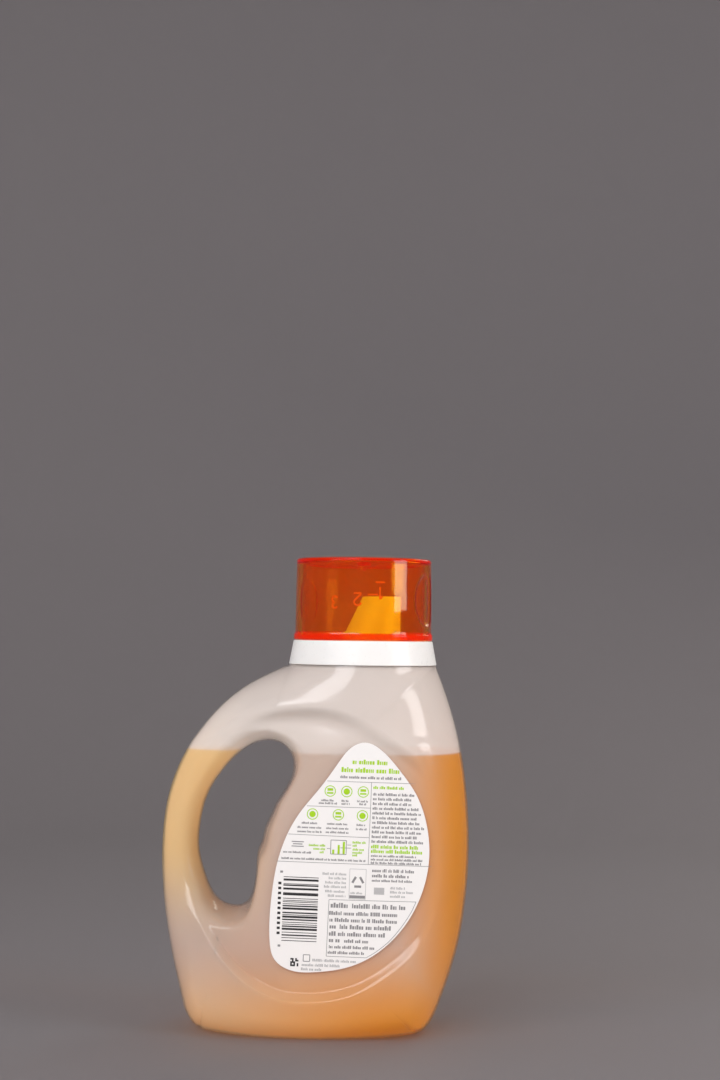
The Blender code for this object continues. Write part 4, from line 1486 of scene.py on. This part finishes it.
@dataclass(frozen=True)
class AmberLiquid:
    """Concentrated liquid detergent: turbid amber, with a painted glow that makes it more gold low down and
    on the pouring side.
    """

    body: str = "#E1D4C7"
    # The next two colours are painted glow, not the liquid's own colour: light shining through thin liquid
    # and from behind.
    handle: str = "#FFE9BA"
    painted_glow: str = "#FBB010"
    clear: str = "#FFF2DC"
    lamp_colour: str = "#FFF0DC"
    depth_colour: str = "#F5C070"
    density: float = 10.0
    turbid: float = 0.86
    glowing: float = 0.38

    def make(self) -> bpy.types.Material:
        """The liquid's one material."""
        recipe = Recipe("amber_liquid_detergent")
        # Liquid colour with painted glow in the handle, near the base and on the pouring side.
        amber = recipe.amber_with_painted_glow((self.body, self.handle, self.painted_glow))
        cloud_with_painted_glow = recipe.shader("Diffuse", links={"Color": amber})
        soft = recipe.blended(self.glowing, cloud_with_painted_glow, recipe.shader("Translucent", links={"Color": amber}))
        through = recipe.shader("Transparent", {"Color": self.clear})
        skin = recipe.blended(1.0 - self.turbid, soft, through)
        return recipe.finish(recipe.lit_through(skin, self.lamp_colour), (self.depth_colour, self.density))


@dataclass(frozen=True)
class PrintedFilm:
    """White polypropylene label film with a semi-gloss varnish."""

    colour: str = "#F3F0EF"
    roughness: float = 0.34
    varnish: float = 0.25
    varnish_roughness: float = 0.2
    ink_roughness: tuple[float, float] = (0.42, 0.52)

    def make(self) -> bpy.types.Material:
        """The film, with the faint waviness of film on a blown wall."""
        recipe = Recipe("white_label_film")
        film = recipe.shader("Principled", {
            "Base Color": self.colour, "Roughness": self.roughness, "Coat Weight": self.varnish,
            "Coat Roughness": self.varnish_roughness,
        }, {"Normal": recipe.bumped(recipe.noise(90.0), 0.15, 0.0004)})
        return recipe.finish(film)

    def ink(self, ink: Ink) -> bpy.types.Material:
        """One ink of the print, a little uneven as screened ink is."""
        recipe = Recipe(f"label_ink_{ink.name.lower()}")
        shade = recipe.mapped(recipe.noise(2500.0), (0.3, 0.7), self.ink_roughness)
        flat = recipe.shader("Principled", {"Base Color": ink.value}, {"Roughness": shade})
        return recipe.finish(flat)


@dataclass(frozen=True)
class WhitePolypropylene:
    """White moulded polypropylene: bright and smooth, with light a little way under its skin."""

    colour: str = "#F4F2F0"
    roughness: tuple[float, float] = (0.24, 0.34)
    index: float = 1.49

    def make(self) -> bpy.types.Material:
        """The moulding's material, with the fine unevenness of a polished mould."""
        recipe = Recipe("white_moulded_polypropylene")
        grain = recipe.noise(700.0, 2.0)
        plastic = recipe.shader("Principled", {
            "Base Color": self.colour, "Subsurface Weight": 0.15, "Subsurface Scale": 0.002,
            "Subsurface Radius": (1.0, 0.9, 0.8), "IOR": self.index,
        }, {
            "Roughness": recipe.mapped(grain, (0.0, 1.0), self.roughness),
            "Normal": recipe.bumped(grain, 0.08, 0.0001),
        })
        return recipe.finish(plastic)


@dataclass(frozen=True)
class TintedPolypropylene:
    """Clarified polypropylene tinted orange-red: clear as glass, deeper in colour where it is thicker.

    Its flange and top edge are the brightest, because light runs inside the walls and comes out there.
    """

    seat: float
    flange_top: float
    top_edge: float
    colour: str = "#FFFFFF"
    depth_colour: str = "#FFF100"
    density: float = 1150.0
    lamp_colour: str = "#FFFFFF"
    haze_and_edge_glow_colour: str = "#F02E04"
    haze: float = 0.06
    painted_edge_glow: float = 0.42
    flange_margin: float = 0.0003
    flange_fade: float = 0.0002
    top_fade: float = 0.0006
    roughness: float = 0.02
    index: float = 1.42
    etched_colour: str = "#FF8A4E"
    etched_clear: str = "#FFB27A"
    etched_share: float = 0.45
    etched_roughness: float = 0.45

    def frosted(self) -> bpy.types.Material:
        """The same plastic where the mould was etched, as on the raised numerals."""
        recipe = Recipe("etched_tinted_polypropylene")
        finish = {"Base Color": self.etched_colour, "Roughness": self.etched_roughness}
        matt = recipe.shader("Principled", finish)
        clear = recipe.shader("Transparent", {"Color": self.etched_clear})
        return recipe.finish(recipe.blended(self.etched_share, clear, matt))

    def make(self) -> bpy.types.Material:
        """The cap's material; lamps shine through it, so that what it covers is lit."""
        recipe = Recipe("tinted_clear_polypropylene")
        glass = recipe.shader("Principled", {
            "Base Color": self.colour, "Roughness": self.roughness, "IOR": self.index,
            "Transmission Weight": 1.0,
        }, {"Normal": recipe.bumped(recipe.noise(60.0), 0.10, 0.0003)})
        height = recipe.axes()["Z"]
        # Painted glow: the red haze is raised at the flange and top edge, standing in for light that runs
        # inside the walls and comes out there.
        above_seat, below_flange_top, high = (
            recipe.mapped(height, (edge - reach, edge + reach), (self.haze, self.painted_edge_glow))
            for edge, reach in (
                (self.seat - self.flange_margin, self.flange_fade), (self.flange_top, -self.flange_fade),
                (self.top_edge, self.top_fade),
            )
        )
        share = recipe.joined("MAXIMUM", recipe.joined("MINIMUM", above_seat, below_flange_top), high)
        clear = recipe.blended(share, glass, recipe.shader("Diffuse", {"Color": self.haze_and_edge_glow_colour}))
        through = recipe.lit_through(clear, self.lamp_colour, "Is Shadow Ray", "Is Diffuse Ray")
        return recipe.finish(through, (self.depth_colour, self.density))


@dataclass
class Studio:
    """A grey floor that curves up all round, soft boxes and the camera."""

    floor_colour: str = "#7E797C"
    bounce_colour: str = "#F0EFEE"
    floor_roughness: float = 0.7
    floor_radius: float = 1.9
    sweep: float = 0.9
    wall_height: float = 2.6
    round_steps: int = 96
    lamps_aim: tuple[float, float, float] = (0.0, 0.0, 0.12)
    world_colour: str = "#F4F3F2"
    world_strength: float = 0.45
    camera_place: tuple[float, float, float] = (0.0221, -1.109, 0.214)
    camera_pitch: float = 2.64
    camera_roll: float = 0.75
    camera_lens: float = 67.27
    sensor: float = 36.0

    def floor(self) -> None:
        """Turn the floor's profile about the object."""
        bend = arc((self.floor_radius - self.sweep, self.sweep), self.sweep, -90, 0, 16)
        profile = [(0.0, 0.0), *bend, (self.floor_radius, self.wall_height)]
        mesh = bmesh.new()
        verts = [mesh.verts.new((radius, 0.0, height)) for radius, height in profile]
        for start, end in zip(verts, verts[1:]):
            mesh.edges.new((start, end))
        bmesh.ops.spin(
            mesh, geom=[*mesh.verts, *mesh.edges], cent=(0.0, 0.0, 0.0), axis=(0.0, 0.0, 1.0),
            angle=FULL_TURN, steps=self.round_steps, use_merge=True,
        )
        bmesh.ops.remove_doubles(mesh, verts=mesh.verts, dist=1e-6)
        bmesh.ops.recalc_face_normals(mesh, faces=mesh.faces)
        data = bpy.data.meshes.new("studio_floor")
        mesh.to_mesh(data)
        mesh.free()
        data.shade_smooth()
        recipe = Recipe("grey_studio_paper")
        path = recipe.node("LightPath").outputs
        rays = (path[ray] for ray in ("Is Camera Ray", "Is Glossy Ray", "Is Transmission Ray"))
        shade = recipe.mixed(recipe.joined("MAXIMUM", *rays), self.bounce_colour, self.floor_colour)
        paper = recipe.shader("Principled", {"Roughness": self.floor_roughness}, {"Base Color": shade})
        data.materials.append(recipe.finish(paper))
        piece = bpy.data.objects.new("studio_floor", data)
        bpy.context.collection.objects.link(piece)

    def lamp(
        self, name: str, place: tuple[float, float, float], size: tuple[float, float], power: float,
        colour: str,
    ) -> None:
        """Add a soft box that looks at the object.

        Args:
            name: What the lamp is.
            place: Where it stands.
            size: Width and height of the box.
            power: Its power in watts.
            colour: Its colour.
        """
        data = bpy.data.lights.new(name, "AREA")
        data.shape, data.energy, data.color = "RECTANGLE", power, linear(colour)[:3]
        data.size, data.size_y = size
        lamp = bpy.data.objects.new(name, data)
        aim = Vector(self.lamps_aim) - Vector(place)
        lamp.matrix_world = Matrix.Translation(place) @ aim.to_track_quat("-Z", "Y").to_matrix().to_4x4()
        bpy.context.collection.objects.link(lamp)

    def camera(self) -> None:
        """Set the camera at the photograph's viewing angle."""
        data = bpy.data.cameras.new("camera")
        data.sensor_fit, data.sensor_width, data.lens = "AUTO", self.sensor, self.camera_lens
        camera = bpy.data.objects.new("camera", data)
        camera.matrix_world = (
            Matrix.Translation(self.camera_place)
            @ Matrix.Rotation(math.radians(90 + self.camera_pitch), 4, "X")
            @ Matrix.Rotation(math.radians(self.camera_roll), 4, "Z")
        )
        bpy.context.collection.objects.link(camera)
        bpy.context.scene.camera = camera

    def build(self) -> None:
        """Set up floor, lamps, world and camera."""
        self.floor()
        self.lamp("key_softbox", (-0.72, -1.15, 1.00), (1.4, 0.5), 12.2, "#FCFCFF")
        self.lamp("fill_softbox", (1.20, -0.55, 0.55), (0.6, 0.6), 6.5, "#FFFAF8")
        self.lamp("rim_softbox", (0.75, 1.05, 0.90), (0.6, 0.6), 3.0, "#FFF7EC")
        world = bpy.data.worlds.new("studio")
        world.use_nodes = True
        background = world.node_tree.nodes["Background"].inputs
        background["Color"].default_value = linear(self.world_colour)
        background["Strength"].default_value = self.world_strength
        bpy.context.scene.world = world
        bpy.context.scene.view_settings.view_transform = "Standard"
        self.camera()


def main() -> None:
    """Build every piece round the frame, then the studio."""
    logging.basicConfig(level=logging.INFO, format="%(name)s: %(message)s")
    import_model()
    low, high = (Vector(corner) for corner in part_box("bottle"))
    form = BodyForm((high.x - low.x) / 2, (high.y - low.y) / 2, high.z)
    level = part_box("detergent")[1][2]
    milky, white = MilkyPolyethylene(level), WhitePolypropylene().make()
    film = PrintedFilm()

    bottle = make_piece(
        Bottle(form).build(), "blown_bottle", BOTTLE_BODY, (milky.outer(), milky.inner()), replaced="bottle",
    )
    liquid = make_piece(
        Detergent(form, level).build(), "liquid_detergent", BOTTLE_BODY, (AmberLiquid().make(),),
        replaced="detergent",
    )
    label = Label(form)
    skin = make_piece(label.build(), "label_film", BOTTLE_BODY, (film.make(),), replaced="label")
    for ink, mesh in Print(label).build().items():
        mark = make_piece(mesh, f"print_{ink.name.lower()}", BOTTLE_BODY, (film.ink(ink),))
    fitment = PourFitment(form)
    moulding = make_piece(fitment.build(), "pour_spout_fitment", BOTTLE_BODY, (white,), 30.0, "pour_fitment")
    cap = Cap(form, fitment.top + form.gap, fitment.plug_inside - THREAD_CLEARANCE)
    tinted = TintedPolypropylene(cap.seat, cap.seat + cap.flange_height, cap.top - cap.top_edge)
    cover = make_piece(
        cap.build(), "measuring_cap", CAP_BODY, (tinted.make(), tinted.frosted()), 30.0, "cap",
    )
    Studio().build()


if __name__ == "__main__":
    main()
